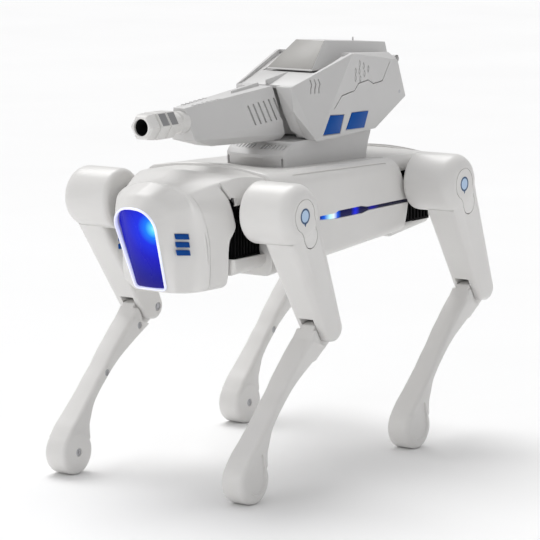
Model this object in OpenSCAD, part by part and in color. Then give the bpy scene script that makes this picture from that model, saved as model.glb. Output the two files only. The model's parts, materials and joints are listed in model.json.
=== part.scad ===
// Four-legged robot dog toy with a toy launcher turret on its back.
// Millimetres, +Z up. The dog faces -Y and its left side is +X.
// The origin is on the floor under the middle of the toy.

/* [Stance] */
// Distance between the front and rear hip axes
wheelbase = 187.5; // [187:0.5:188]
// Height of the hip axes above the floor
hip_z = 174.5; // [174.5:0.1:175]
// How far the middle of the wheelbase sits behind the origin
wheelbase_mid_y = 1.25; // [0:0.25:2]
// Inner face of the thigh, from the middle plane
thigh_in_x = 62; // [61.5:0.1:62.2]
// Outer face of the hip drum, from the middle plane
drum_out_x = 88.6; // [88:0.1:89]

/* [Leg] */
// Radius of the hip drum
drum_r = 20.3; // [20:0.1:20.6]
// Knee axis behind the hip axis
knee_dy = 49; // [48.5:0.1:49.5]
// Knee axis below the hip axis
knee_dz = -77.8; // [-78.2:0.1:-77.5]
// Radius of the knee pin
knee_pin_r = 2.5; // [2:0.1:3]
// Radius of the round foot
foot_r = 15.3; // [15:0.1:15.3]
// Foot centre ahead of the hip axis
foot_dy = -36; // [-36.5:0.1:-35.5]
// Radius of the hip output shaft
hip_shaft_r = 4; // [3:0.1:4.5]
// Free play between a turning shaft and its hole
running_gap = 0.06; // [0.03:0.01:0.1]

/* [Body] */
// Half width of the trunk
trunk_half_w = 50; // [49:0.5:51]
// Wall of the body casings
wall = 2; // [1.6:0.2:2.4]
// Height of the joint between the upper and lower casings
split_z = 162.5; // [162:0.5:163]
// Height of the top of the black hip carriers
carrier_top_z = 183; // [182:0.5:183]
// Height of the bottom of the black hip carriers
carrier_bottom_z = 144; // [143.5:0.5:145]

/* [Head] */
// Backward lean of the face, in degrees
face_lean = 20.6; // [20:0.1:21]
// Half width of the face lens at the top
lens_top_half_w = 14.3; // [13.5:0.1:14.5]
// Half width of the face lens at the bottom
lens_bottom_half_w = 11; // [10.5:0.1:11.5]
// Width of the pale frame round the lens
bezel_w = 3.6; // [3:0.1:4]

/* [Turret] */
// Height of the barrel axis
barrel_z = 228; // [227.5:0.5:228.5]
// Radius of the muzzle bore
bore_r = 5.3; // [5:0.1:5.5]
// Position of the muzzle face
muzzle_y = -140.6; // [-141:0.1:-140]
// Barrel pivot, along the body
pivot_y = 6; // [5:0.5:7]
// Half width of the launcher lid at its foot
lid_half_w = 17.9; // [17:0.1:18]

/* [Hidden] */
$fn = 64;
front_hip_y = wheelbase_mid_y - wheelbase / 2;
rear_hip_y = wheelbase_mid_y + wheelbase / 2;
thigh_split_x = 75;
shank_split_x = 70;
tongue_x0 = 66.3;
tongue_x1 = 75.7;
slot_gap = 0.5;
bearing_out_x = 54;
carrier_half_w = 42;
front_carrier_y = [-103, -73];
rear_carrier_y = [88, 127];
light_z = 162.5;
crown = 2.6;
seam_y = -119;
saddle_z = 199;
turret_screw_y = [-2, 66];
tail_y = 130;
turret_floor_z = 208;
plate_in_x = 21;
plate_out_x = 31;
barrel_pivot_z = 226;
trunnion_r = 3.4;
screw_r = 1.4;
screw_head_r = 2.6;
lid_hinge_y = 122;
lid_hinge_z = 252.5;
hull_fn = 32;

// ---------- shared helpers ----------

// Extrudes an outline drawn in (y, z) along X.
module along_x(x0, x1) {
  translate([x0, 0, 0]) rotate([90, 0, 90]) linear_extrude(x1 - x0) children();
}

// Extrudes an outline drawn in (x, z) along Y.
module along_y(y0, y1) {
  translate([0, y1, 0]) rotate([90, 0, 0]) linear_extrude(y1 - y0) children();
}

module rod_x(r, x0, x1, y, z) {
  translate([x0, y, z]) rotate([0, 90, 0]) cylinder(r = r, h = x1 - x0);
}

module rod_y(r, y0, y1, x, z) {
  translate([x, y0, z]) rotate([-90, 0, 0]) cylinder(r = r, h = y1 - y0);
}

module rod_z(r, z0, z1, x, y) {
  translate([x, y, z0]) cylinder(r = r, h = z1 - z0);
}

module box(low, high) {
  translate(low) cube(high - low);
}

module both_sides() {
  children();
  mirror([1, 0, 0]) children();
}

// Quarter-round corner points about centre c, from angle a0 to a1.
function arc(c, r, a0, a1, steps) =
  [for (i = [0:steps]) let (a = a0 + (a1 - a0) * i / steps) c + r * [cos(a), sin(a)]];

// Round disc about an X axis with a rounded outer rim and a smaller inner one.
module puck(r, at, x0, x1, rim, inner_rim) {
  h = x1 - x0;
  outline = concat(
    [[0, 0]],
    arc([r - inner_rim, inner_rim], inner_rim, -90, 0, 4),
    arc([r - rim, h - rim], rim, 0, 90, 5),
    [[0, h]]);
  translate([x0, at[0], at[1]]) rotate([0, 90, 0]) rotate_extrude() polygon(outline);
}

// Rounded rectangle in (x, z), centred on x = 0, with separate low and high corner radii
// and a slightly crowned top.
module section(half_w, z0, z1, r_low, r_high) {
  side_low = half_w - r_low;
  side_high = half_w - r_high;
  polygon(concat(
    arc([side_low, z0 + r_low], r_low, -90, 0, 5),
    arc([side_high, z1 - r_high], r_high, 0, 84, 6),
    [[side_high / 2, z1 + 0.75 * crown], [0, z1 + crown], [-side_high / 2, z1 + 0.75 * crown]],
    arc([-side_high, z1 - r_high], r_high, 96, 180, 6),
    arc([-side_low, z0 + r_low], r_low, 180, 270, 5)));
}

// ---------- body ----------

// Underside and top of the trunk, which slope a little along its length.
function belly_z(y) = 135.2 + 0.068 * y;
function back_z(y) = 193.4 - 0.029 * y;

// Trunk shape through a list of stations [y, half width], drawn in by inset on every side.
// The underside is raised by lift.
module trunk_length(stations, lift, inset) {
  hull() for (s = stations)
    along_y(s[0] - 0.1, s[0] + 0.1)
      section(s[1] - inset, belly_z(s[0]) + lift + inset, back_z(s[0]) - inset, 7, 10);
}

// Wide middle of the trunk, with a pointed rear edge on each side.
module body_form(inset) {
  intersection() {
    trunk_length([[-72 + inset, trunk_half_w], [88, trunk_half_w]], 0, inset);
    along_x(-60, 60) offset(delta = -inset)
      polygon([[-100, 110], [-100, 215], [64, 215], [88, 164], [85, 146], [77, 136], [77, 110]]);
  }
}

// Pointed joint between the head and the trunk, as seen from the side.
joint_line = [[-104.8, 110], [-104.8, 157], [-99.6, 166], [-118, 197], [-118, 215]];

// Narrower front and rear of the trunk, above and below the hip carriers.
module bridge_form(inset) {
  intersection() {
    union() {
      trunk_length([[-117, 37.5], [-99, 44.5], [-60, 45]], 6, inset);
      trunk_length([[80, 45], [tail_y - 0.1 - inset, 40]], -3.5, inset);
    }
    along_x(-60, 60) offset(delta = -inset)
      polygon(concat([for (p = joint_line) p + [1.2, 0]], [[200, 215], [200, 110]]));
  }
}

// Space across the body that each hip carrier fills.
module carrier_space(margin) {
  for (c = [front_carrier_y, rear_carrier_y])
    box([-60, c[0] - margin, carrier_bottom_z - margin],
        [60, c[1] + margin, carrier_top_z + margin]);
}

// Raised seat for the turret, rounded at the front.
module saddle() {
  translate([0, 0, 185]) linear_extrude(saddle_z - 185)
    polygon(concat(
      arc([-15.4, -12], 8, 180, 270, 5),
      arc([15.4, -12], 8, 270, 360, 5),
      [[23.4, 76], [-23.4, 76]]));
}

module casing() {
  difference() {
    union() {
      body_form(0);
      bridge_form(0);
      saddle();
    }
    difference() {
      union() {
        body_form(wall);
        bridge_form(wall);
      }
      carrier_space(wall + 0.2);
    }
    carrier_space(0.2);
    both_sides() along_x(48.6, 51) light_outline(0.1);
  }
}

module upper_body_shell() {
  color("whitesmoke") difference() {
    casing();
    box([-70, -130, 100], [70, 140, split_z]);
    for (y = turret_screw_y) rod_z(screw_r, 180, 200, 0, y);
    box([-10, 14, 185], [10, 26, 200]);
  }
}

module lower_body_shell() {
  color("whitesmoke") difference() {
    casing();
    box([-70, -130, split_z], [70, 140, 220]);
    box([-30, -30, 120], [30, 30, 142.5]);
    box([16, 44, 120], [24, 60, 150]);
    for (x = [-36, -30, -24]) for (y = [46, 52, 58]) rod_z(1.2, 120, 150, x, y);
    for (p = [[-38, -50], [38, -50], [-38, 72], [38, 72]]) rod_z(screw_r, 120, 150, p[0], p[1]);
    rod_y(3.1, 60, 70, 0, 148);
  }
}

module battery_door() {
  z_front = belly_z(-29.7);
  z_rear = belly_z(29.7);
  color("white") difference() {
    along_x(-29.7, 29.7)
      polygon([[-29.7, z_front], [29.7, z_rear], [29.7, z_rear + wall], [-29.7, z_front + wall]]);
    rod_z(screw_r, 120, 150, 0, 24);
    for (i = [-3:3]) box([-12, -20 + 3 * i, 125], [12, -19 + 3 * i, belly_z(-20 + 3 * i) + 0.5]);
  }
}

module tail_cap() {
  color("white") difference() {
    hull() {
      along_y(tail_y, tail_y + 0.2) section(40, belly_z(tail_y) - 3.5, back_z(tail_y), 7, 10);
      along_y(tail_y + 8.8, tail_y + 9)
        section(33, belly_z(tail_y) + 4, back_z(tail_y) - 8, 7, 10);
    }
    along_y(tail_y - 5, tail_y + 6.5)
      section(34, belly_z(tail_y) + 8, back_z(tail_y) - 9, 6, 9);
    rod_y(4.5, tail_y + 4, tail_y + 12, 0, 160);
  }
}

module charge_socket() {
  color("dimgray") difference() {
    union() {
      rod_y(4.4, tail_y + 0.5, tail_y + 8.6, 0, 160);
      rod_y(7, tail_y + 0.1, tail_y + 2.6, 0, 160);
    }
    rod_y(2.75, tail_y + 2.6, tail_y + 9, 0, 160);
  }
}

module power_switch() {
  color("black") {
    box([17, 48, belly_z(52) - 1], [23, 52, belly_z(52) + 3]);
    box([15, 46, belly_z(52) + 3], [25, 54, belly_z(52) + 4.4]);
  }
}

module speaker() {
  color("dimgray") difference() {
    union() {
      rod_z(13, 145, 148, -30, 52);
      rod_z(8, 148, 153, -30, 52);
    }
    rod_z(10, 144, 146, -30, 52);
  }
}

module battery_pack() {
  color("royalblue") union() {
    for (y = [-19, 0, 19]) rod_x(9.2, -33, 33, y, 152.5);
    box([-32, -19, 147], [32, 19, 158]);
  }
}

module main_board() {
  color("darkgreen") box([-36, -50, 166], [36, 40, 167.6]);
  color("black") box([-12, -24, 167.6], [12, 0, 170]);
  color("black") box([14, 6, 167.6], [26, 18, 169.4]);
  color("silver") rod_z(5, 167.6, 176, -20, 20);
}

// Narrow strip along the side with a wider stretch ahead of its middle.
module light_outline(margin) {
  offset(delta = margin)
    polygon([[-19, light_z - 1], [-3, light_z - 2.2], [30, light_z - 2.2], [38, light_z - 1],
      [84, light_z - 1], [84, light_z + 1], [36, light_z + 1], [30, light_z + 2.2],
      [3, light_z + 2.2], [-1, light_z + 1], [-19, light_z + 1]]);
}

module side_light() {
  color("navy") along_x(48.7, 50.2) light_outline(0);
}
module side_light_left() side_light();
module side_light_right() mirror([1, 0, 0]) side_light();

// Black frame across the body that holds two hip gearmotors.
module hip_carrier(c, hip_y) {
  depth = c[1] - c[0];
  color("black") difference() {
    union() {
      box([-carrier_half_w, c[0], carrier_bottom_z], [carrier_half_w, c[1], carrier_top_z]);
      both_sides() rod_x(7, carrier_half_w, bearing_out_x, hip_y, hip_z);
    }
    box([-38, c[0] + 2, carrier_bottom_z + 2], [38, c[1] - 2, carrier_top_z - 2]);
    rod_x(hip_shaft_r + running_gap, -62, 62, hip_y, hip_z);
    both_sides() for (i = [0:6])
      box([carrier_half_w - 1.4, c[0] + 1.6 + (depth - 2) / 7 * i, carrier_bottom_z + 3],
          [carrier_half_w + 1, c[0] + 3.8 + (depth - 2) / 7 * i, carrier_top_z - 17]);
    box([-8, c[0] - 1, 150], [8, c[1] + 1, 160]);
  }
}
module hip_carrier_front() hip_carrier(front_carrier_y, front_hip_y);
module hip_carrier_rear() hip_carrier(rear_carrier_y, rear_hip_y);

// A gearbox block with its motor can, one for each hip.
module hip_gearmotors() {
  color("gray") for (c = [front_carrier_y, rear_carrier_y]) {
    middle = (c[0] + c[1]) / 2;
    both_sides() {
      rod_x(8, 9, 26, middle, 156);
      box([26, middle - 12, 147.5], [33, middle + 12, 180]);
    }
  }
}

module body_screws() {
  color("silver") {
    for (p = [[-38, -50], [38, -50], [-38, 72], [38, 72]]) {
      z = belly_z(p[1]);
      rod_z(screw_r, z - 0.3, z + 12, p[0], p[1]);
      rod_z(screw_head_r, z - 1.4, z - 0.3, p[0], p[1]);
    }
    rod_z(screw_r, belly_z(24) - 0.3, belly_z(24) + 6, 0, 24);
    rod_z(screw_head_r, belly_z(24) - 1.4, belly_z(24) - 0.3, 0, 24);
    for (y = turret_screw_y) {
      rod_z(screw_r, 189.9, 203.9, 0, y);
      rod_z(screw_head_r, 188.6, 189.9, 0, y);
    }
  }
}

// ---------- head ----------

// Places children in the plane of the face: x across, y up the face, z out of it.
module on_face() {
  translate([0, -132.1, 127.6]) rotate([face_lean, 0, 0]) rotate([90, 0, 0]) children();
}

// Outline of the face lens, grown by margin.
module face_outline(margin) {
  hull() {
    for (s = [-1, 1]) {
      translate([s * (lens_bottom_half_w - 2), 2]) circle(2 + margin, $fn = hull_fn);
      translate([s * (lens_top_half_w - 9.5), 44]) circle(9.5 + margin, $fn = hull_fn);
    }
  }
}

module head_form(inset) {
  hull() {
    on_face() translate([0, 0, -3 + inset / 2]) linear_extrude(1)
      face_outline(bezel_w - inset);
    along_y(seam_y - 0.2, seam_y)
      section(36.4 - inset, 125.4 + inset, 193.5 - inset, 7, 20 - inset);
  }
}

module head_shell() {
  color("whitesmoke") difference() {
    head_form(0);
    head_form(wall);
    on_face() translate([0, 0, -12]) linear_extrude(20) face_outline(0.6);
    both_sides() side_bar_space(0.1);
  }
}

// The three slanted bars on the cheek, as one placed group.
module side_bar_space(gap) {
  for (i = [0:2])
    translate([25.4 + 0.25 * i, -133.4 + 0.5 * i, 161.2 - 5 * i]) rotate([0, 0, 58])
      translate([-5 - gap, -1.5, -1.8 - gap]) cube([10 + 2 * gap, 5, 3.6 + 2 * gap]);
}

module head_side_bars() {
  color("steelblue") both_sides() intersection() {
    side_bar_space(0);
    difference() {
      head_form(-0.2);
      head_form(wall - 0.4);
    }
  }
}

// Ring between the head and the trunk, with a pointed rear edge.
module head_collar() {
  color("white") difference() {
    hull() {
      along_y(seam_y, seam_y + 0.2) section(36.4, 125.4, 193.5, 7, 20);
      along_y(-99.4, -99.2) section(44, 127, 196.4, 8, 16);
    }
    hull() {
      along_y(seam_y - 0.1, seam_y + 0.2) section(34.2, 127.6, 191.3, 6, 18);
      along_y(-99.3, -99) section(41.6, 129.4, 194, 7, 14);
    }
    along_x(-60, 60) polygon(concat(joint_line, [[-60, 215], [-60, 110]]));
    box([-carrier_half_w - 0.2, front_carrier_y[0] - 0.2, carrier_bottom_z - 0.2],
        [carrier_half_w + 0.2, -80, carrier_top_z + 0.2]);
  }
}

module face_bezel() {
  color("aliceblue") difference() {
    on_face() translate([0, 0, -1.9]) linear_extrude(2.9) face_outline(bezel_w - 0.3);
    on_face() translate([0, 0, -5]) linear_extrude(10) face_outline(0.15);
  }
}

module face_lens() {
  color("blue") on_face() translate([0, 0, -1.6]) linear_extrude(2.4) face_outline(0);
}

module head_led_board() {
  color("darkgreen") on_face() translate([0, 4, -9]) {
    linear_extrude(1.6) polygon([[-9, 0], [9, 0], [11, 40], [-11, 40]]);
    for (y = [8, 20, 32]) translate([0, y, 1.6]) cylinder(r = 2.5, h = 4);
  }
}

// ---------- turret ----------

// Foot of the turret, with a round nose and a rear end that leans back.
module turret_pedestal() {
  color("gainsboro") difference() {
    hull() {
      translate([0, 10, saddle_z]) cylinder(r = 21, h = 1, $fn = 48);
      translate([0, 9, turret_floor_z - 1]) cylinder(r = 22.5, h = 1, $fn = 48);
      box([-22, 40, saddle_z], [22, 76, saddle_z + 1]);
      box([-22.5, 40, turret_floor_z - 1], [22.5, 81, turret_floor_z]);
    }
    box([-17, 6, saddle_z - 1], [17, 58, turret_floor_z - 2.5]);
    for (y = turret_screw_y) rod_z(screw_r, saddle_z - 1, 204, 0, y);
    box([-10, 14, 190], [10, 26, 212]);
    both_sides() for (i = [0:4])
      box([21.6, 0 + 4.4 * i, 201.6], [24, 2.2 + 4.4 * i, 205.4]);
  }
}

module turret_core() {
  color("gainsboro") difference() {
    union() {
      along_x(-plate_in_x, plate_in_x)
        polygon([[6, turret_floor_z], [-8, 228], [-12, 243.5], [16, 250.5], [112, 250.5],
          [130, 249], [120, 228], [76, 209.5], [70, turret_floor_z]]);
      both_sides() box([12.4, 119.6, 248], [15.4, 124.4, 255]);
      both_sides() box([18.3, 43, 250], [plate_in_x, 55, 258.5]);
      along_x(-1.5, 1.5) polygon([[-11, 243], [-10, 246.4], [15, 252.6], [15, 249]]);
    }
    box([-13.5, -30, 211], [13.5, 22, 241.5]);
    along_x(-13.5, 13.5) polygon([[-30, 238], [-30, 260], [-8, 260], [-6, 238]]);
    rod_x(trunnion_r + running_gap, -18.5, 18.5, pivot_y, barrel_pivot_z);
    rod_x(2.2 + running_gap, -16, 16, lid_hinge_y, lid_hinge_z);
    box([-14, 26, 214], [14, 72, 232]);
    box([-14, 26, 235], [14, 108, 252]);
    rod_z(4, 228, 238, 0, 40);
    box([-14, 78, 214], [14, 100, 232]);
    both_sides() for (p = plate_screws) rod_x(screw_r, 17, plate_in_x + 1, p[0], p[1]);
  }
}

module launcher_unit() {
  color("orange") box([-12, 28, 214.2], [12, 56, 231]);
  color("silver") rod_y(8, 56, 71, 0, 223);
  color("silver") rod_z(3.6, 231, 234.8, 0, 40);
}

// Outline of a side plate in (y, z), and of its flat outer facet.
plate_outline = [[-12, 243.5], [-10.5, 228], [5, turret_floor_z], [78, 209], [117, 228],
  [105, 253], [46, 262]];
plate_screws = [[49, 254], [108, 232]];
plate_facet = [[4.5, 209.5], [76.5, 210.5], [114, 228.5], [103, 251], [47, 259.5]];

module turret_plate_left() {
  color("lightgray") difference() {
    hull() {
      along_x(plate_in_x, plate_in_x + 1) polygon(plate_outline);
      along_x(plate_out_x - 0.5, plate_out_x) polygon(plate_facet);
    }
    both_windows(0.15);
    for (p = plate_screws) {
      rod_x(screw_r, plate_in_x - 1, 29, p[0], p[1]);
      rod_x(screw_head_r, 28, 32, p[0], p[1]);
    }
  }
}
module turret_plate_right() mirror([1, 0, 0]) turret_plate_left();

module both_windows(gap) {
  for (shift = [0, 24])
    along_x(29 - gap, 32) offset(delta = gap)
      polygon([[21 + shift, 222.4], [41 + shift, 222], [35 + shift, 211.4], [14 + shift, 211.2]]);
}

module turret_windows() {
  color("steelblue") both_sides() intersection() {
    both_windows(0);
    box([29, 0, 200], [plate_out_x, 80, 230]);
  }
}

// Lid over the hopper, turning on a pin across its rear edge.
module hopper_lid() {
  color("lightgray") difference() {
    union() {
      hull() {
        box([-lid_half_w, 18, 251.2], [lid_half_w, 112, 252]);
        along_x(-11.2, 11.2) polygon([[43, 269.8], [118, 264.2], [122, 255], [60, 252]]);
      }
      box([-10, 120.6, lid_hinge_z], [10, 122.4, 257]);
      rod_x(2.2, -14.5, 14.5, lid_hinge_y, lid_hinge_z);
    }
    hull() {
      box([-lid_half_w + 2.5, 24, 250], [lid_half_w - 2.5, 106, 252]);
      box([-9, 46, 255], [9, 106, 261.5]);
    }
    both_sides() difference() {
      box([12, 117.8, 249], [20, 127, 256.5]);
      rod_x(2.2, 11, 14.5, lid_hinge_y, lid_hinge_z);
    }
  }
}

// Corner points of the barrel cover on one side, from the muzzle end to the turret.
shroud_points = [
  [4.5, -102, 236.3], [9.1, -97, 215.8], [6, -76, 211.4],
  [7.2, -46, 240.6], [9.5, -17.5, 243.5], [14, -10.5, 221], [13, -6, 212], [9, -5, 208.6]];

// Barrel cover: a tapering wedge with slanted ends.
module barrel_shroud() {
  color("gainsboro") difference() {
    union() {
      hull() for (p = shroud_points)
        along_x(-p[0], p[0]) translate([p[1], p[2]]) square(0.2, center = true);
      along_x(-1.5, 1.5) polygon([[-48, 238], [-48.5, 242], [-46, 243.2], [-18.5, 246.6], [-18, 240]]);
    }
    rod_y(5.55, -120, -1, 0, barrel_z - 0.5);
    along_x(-9, 9) polygon([[-70, 216], [-70, 234], [0, 238], [0, 213]]);
    both_sides() for (i = [0:5])
      translate([7, -47 + 6.2 * i, 222]) rotate([-18, 0, 0]) cube([9, 2.2, 13]);
    for (i = [0:5]) box([-8, -97 + 4.6 * i, 236.6 + 0.3 * i], [8, -95.4 + 4.6 * i, 245]);
  }
}

module barrel_tube() {
  z = barrel_z - 0.5;
  color("white") difference() {
    union() {
      rod_y(5.5, -124, 15, 0, z);
      rod_x(trunnion_r, -18, 18, pivot_y, barrel_pivot_z);
      box([-8.9, -16, 222], [8.9, 12, 233]);
    }
    rod_y(bore_r - 1.3, -130, -10, 0, z);
  }
}

// Muzzle ring and the six-sided block behind it.
module muzzle_tip() {
  z = barrel_z - 0.5;
  color("white") difference() {
    union() {
      rod_y(7.8, muzzle_y, -127, 0, z);
      translate([0, -127.5, z]) rotate([-90, 0, 0]) cylinder(r = 9.6, h = 22, $fn = 6);
    }
    rod_y(bore_r, muzzle_y - 1, -124, 0, z);
    rod_y(5.5, -124, -100, 0, z);
    for (y = [-120.5, -113]) difference() {
      box([-12, y, 210], [12, y + 1.4, 245]);
      translate([0, y - 0.5, z]) rotate([-90, 0, 0]) cylinder(r = 8.4, h = 3, $fn = 6);
    }
  }
}

module turret_screws() {
  color("dimgray") both_sides()
    for (p = plate_screws) {
      rod_x(screw_head_r - 0.2, 28, 29.4, p[0], p[1]);
      rod_x(screw_r, 18.5, 28, p[0], p[1]);
    }
}

// ---------- legs ----------
// Leg modules are drawn for a left leg with the hip axis at y = 0, z = 0.

hip = [0, 0];
knee = [knee_dy, knee_dz];
foot = [foot_dy, foot_r - 0.3 - hip_z];

module thigh_form() {
  puck(drum_r, hip, thigh_in_x, drum_out_x, 9, 6, $fn = 96);
  hull() {
    puck(18.3, [1, 0.1], thigh_in_x, 87.6, 7, 5, $fn = hull_fn);
    puck(8.5, knee + [-0.5, 0.3], thigh_in_x, 81.5, 5, 2, $fn = hull_fn);
    puck(4.5, knee + [-9.5, -2.2], thigh_in_x, 81.5, 3, 2, $fn = hull_fn);
  }
}

module thigh_hollow() {
  hull() {
    rod_x(15.5, thigh_in_x + wall, 84.5, 1, 0, $fn = hull_fn);
    rod_x(6, 65.8, 76.2, 41, -66, $fn = hull_fn);
  }
}

// Slot between the two cheeks of the knee for the shank's tongue to swing in.
module knee_slot() {
  rod_x(6 + slot_gap, tongue_x0 - slot_gap, tongue_x1 + slot_gap, knee[0], knee[1]);
  along_x(tongue_x0 - slot_gap, tongue_x1 + slot_gap)
    polygon([knee + [-2, 6.2], knee + [-25, 13], knee + [-40, -12], knee + [-20, -24],
      knee + [6.4, -24], knee + [6.4, 0]]);
}

module thigh_body() {
  difference() {
    union() {
      difference() {
        thigh_form();
        thigh_hollow();
      }
      rod_x(7.5, thigh_in_x + 1, 84.6, 0, 0);
      intersection() {
        thigh_form();
        rod_x(4.6, thigh_in_x + 1, 84.6, 20, -30);
      }
    }
    knee_slot();
    rod_x(hip_shaft_r, thigh_in_x - 1, 78, 0, 0);
    rod_x(knee_pin_r, 60, 79.5, knee[0], knee[1]);
    rod_x(3.1, 60, thigh_in_x + 1.3, knee[0], knee[1]);
    rod_x(screw_head_r, 60, 65, 3.6, 6.4);
    badge_space(0.15);
  }
}

module badge_space(gap) {
  along_x(86 - gap, 90) hull() {
    circle(11.2 + gap, $fn = hull_fn);
    translate([7.4, -16.3]) circle(6.9 + gap, $fn = hull_fn);
  }
}

module thigh_outer() {
  color("white") difference() {
    thigh_body();
    box([50, -40, -100], [thigh_split_x, 80, 40]);
  }
}

module thigh_inner() {
  color("white") intersection() {
    thigh_body();
    box([50, -40, -100], [thigh_split_x, 80, 40]);
  }
}

module hip_badge() {
  color("aliceblue") intersection() {
    badge_space(0);
    box([80, -40, -40], [drum_out_x + 0.2, 40, 40]);
  }
}

module hip_shaft() {
  color("silver") rod_x(hip_shaft_r, 34, 78, 0, 0);
}

module knee_pin() {
  color("dimgray") union() {
    rod_x(knee_pin_r, thigh_in_x + 1, 79, knee[0], knee[1]);
    rod_x(3, thigh_in_x + 0.3, thigh_in_x + 1.3, knee[0], knee[1]);
  }
}

// Centre and radius of each round stretch of the shank, from knee to foot.
shank_line = [[28, -87.5, 8], [11.4, -98.9, 6.2], [-4.5, -113, 4.8], [-18, -126.5, 4.7],
  [-27.5, -137.5, 6.2], [-34, -148, 9.8], [foot[0], foot[1], foot_r]];

module shank_outline() {
  for (i = [0:len(shank_line) - 2]) hull() {
    for (p = [shank_line[i], shank_line[i + 1]])
      translate([p[0], p[1]]) circle(p[2], $fn = 48);
  }
}

module shank_form() {
  intersection() {
    along_x(60, 80) shank_outline();
    along_y(-60, 40) polygon([[60.5, -175], [60.5, -152], [63, -135], [63.4, -113], [62, -95],
      [62, -70], [78, -70], [78, -95], [76.6, -113], [77, -135], [79.5, -152], [79.5, -175]]);
    box([50, -60, -hip_z], [90, 60, -60]);
  }
}

module shank_body() {
  difference() {
    union() {
      shank_form();
      along_x(tongue_x0, tongue_x1) hull() {
        translate(knee) circle(6, $fn = 48);
        translate([28, -87.5]) circle(7.4, $fn = 48);
      }
    }
    rod_x(knee_pin_r + running_gap, 60, 80, knee[0], knee[1]);
    for (p = [[28, -85], [-5, -113], foot]) {
      rod_x(screw_r, 62, 76, p[0], p[1]);
      rod_x(screw_head_r, 58, 64.5, p[0], p[1]);
    }
    rod_x(9, 78.7, 80, foot[0], foot[1]);
  }
}

module shank_outer() {
  color("white") difference() {
    shank_body();
    box([50, -60, -180], [shank_split_x, 70, -60]);
  }
}

module shank_inner() {
  color("white") intersection() {
    shank_body();
    box([50, -60, -180], [shank_split_x, 70, -60]);
  }
}

module left_leg(hip_y) {
  translate([0, hip_y, hip_z]) children();
}

module right_leg(hip_y) {
  mirror([1, 0, 0]) left_leg(hip_y) children();
}

module front_left_thigh_outer() left_leg(front_hip_y) thigh_outer();
module front_left_thigh_inner() left_leg(front_hip_y) thigh_inner();
module front_left_hip_badge() left_leg(front_hip_y) hip_badge();
module front_left_hip_shaft() left_leg(front_hip_y) hip_shaft();
module front_left_knee_pin() left_leg(front_hip_y) knee_pin();
module front_left_shank_outer() left_leg(front_hip_y) shank_outer();
module front_left_shank_inner() left_leg(front_hip_y) shank_inner();
module front_right_thigh_outer() right_leg(front_hip_y) thigh_outer();
module front_right_thigh_inner() right_leg(front_hip_y) thigh_inner();
module front_right_hip_badge() right_leg(front_hip_y) hip_badge();
module front_right_hip_shaft() right_leg(front_hip_y) hip_shaft();
module front_right_knee_pin() right_leg(front_hip_y) knee_pin();
module front_right_shank_outer() right_leg(front_hip_y) shank_outer();
module front_right_shank_inner() right_leg(front_hip_y) shank_inner();
module rear_left_thigh_outer() left_leg(rear_hip_y) thigh_outer();
module rear_left_thigh_inner() left_leg(rear_hip_y) thigh_inner();
module rear_left_hip_badge() left_leg(rear_hip_y) hip_badge();
module rear_left_hip_shaft() left_leg(rear_hip_y) hip_shaft();
module rear_left_knee_pin() left_leg(rear_hip_y) knee_pin();
module rear_left_shank_outer() left_leg(rear_hip_y) shank_outer();
module rear_left_shank_inner() left_leg(rear_hip_y) shank_inner();
module rear_right_thigh_outer() right_leg(rear_hip_y) thigh_outer();
module rear_right_thigh_inner() right_leg(rear_hip_y) thigh_inner();
module rear_right_hip_badge() right_leg(rear_hip_y) hip_badge();
module rear_right_hip_shaft() right_leg(rear_hip_y) hip_shaft();
module rear_right_knee_pin() right_leg(rear_hip_y) knee_pin();
module rear_right_shank_outer() right_leg(rear_hip_y) shank_outer();
module rear_right_shank_inner() right_leg(rear_hip_y) shank_inner();

// ---------- drawing ----------

upper_body_shell();
lower_body_shell();
head_shell();
head_collar();
face_bezel();
face_lens();
head_led_board();
head_side_bars();
side_light_left();
side_light_right();
hip_carrier_front();
hip_carrier_rear();
hip_gearmotors();
main_board();
battery_pack();
battery_door();
speaker();
charge_socket();
tail_cap();
body_screws();
power_switch();
turret_pedestal();
turret_core();
turret_plate_left();
turret_plate_right();
turret_windows();
launcher_unit();
hopper_lid();
barrel_shroud();
barrel_tube();
muzzle_tip();
turret_screws();
front_left_thigh_outer();
front_left_thigh_inner();
front_left_hip_badge();
front_left_hip_shaft();
front_left_knee_pin();
front_left_shank_outer();
front_left_shank_inner();
front_right_thigh_outer();
front_right_thigh_inner();
front_right_hip_badge();
front_right_hip_shaft();
front_right_knee_pin();
front_right_shank_outer();
front_right_shank_inner();
rear_left_thigh_outer();
rear_left_thigh_inner();
rear_left_hip_badge();
rear_left_hip_shaft();
rear_left_knee_pin();
rear_left_shank_outer();
rear_left_shank_inner();
rear_right_thigh_outer();
rear_right_thigh_inner();
rear_right_hip_badge();
rear_right_hip_shaft();
rear_right_knee_pin();
rear_right_shank_outer();
rear_right_shank_inner();
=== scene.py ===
"""Looks of the robot dog toy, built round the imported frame.

Shapes are laid out in millimetres, in the frame's own axes: +X is the dog's left, +Y its rear, +Z up.
"""
import json
import math

import bmesh
import bpy
from mathutils import Euler, Matrix, Vector


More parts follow.
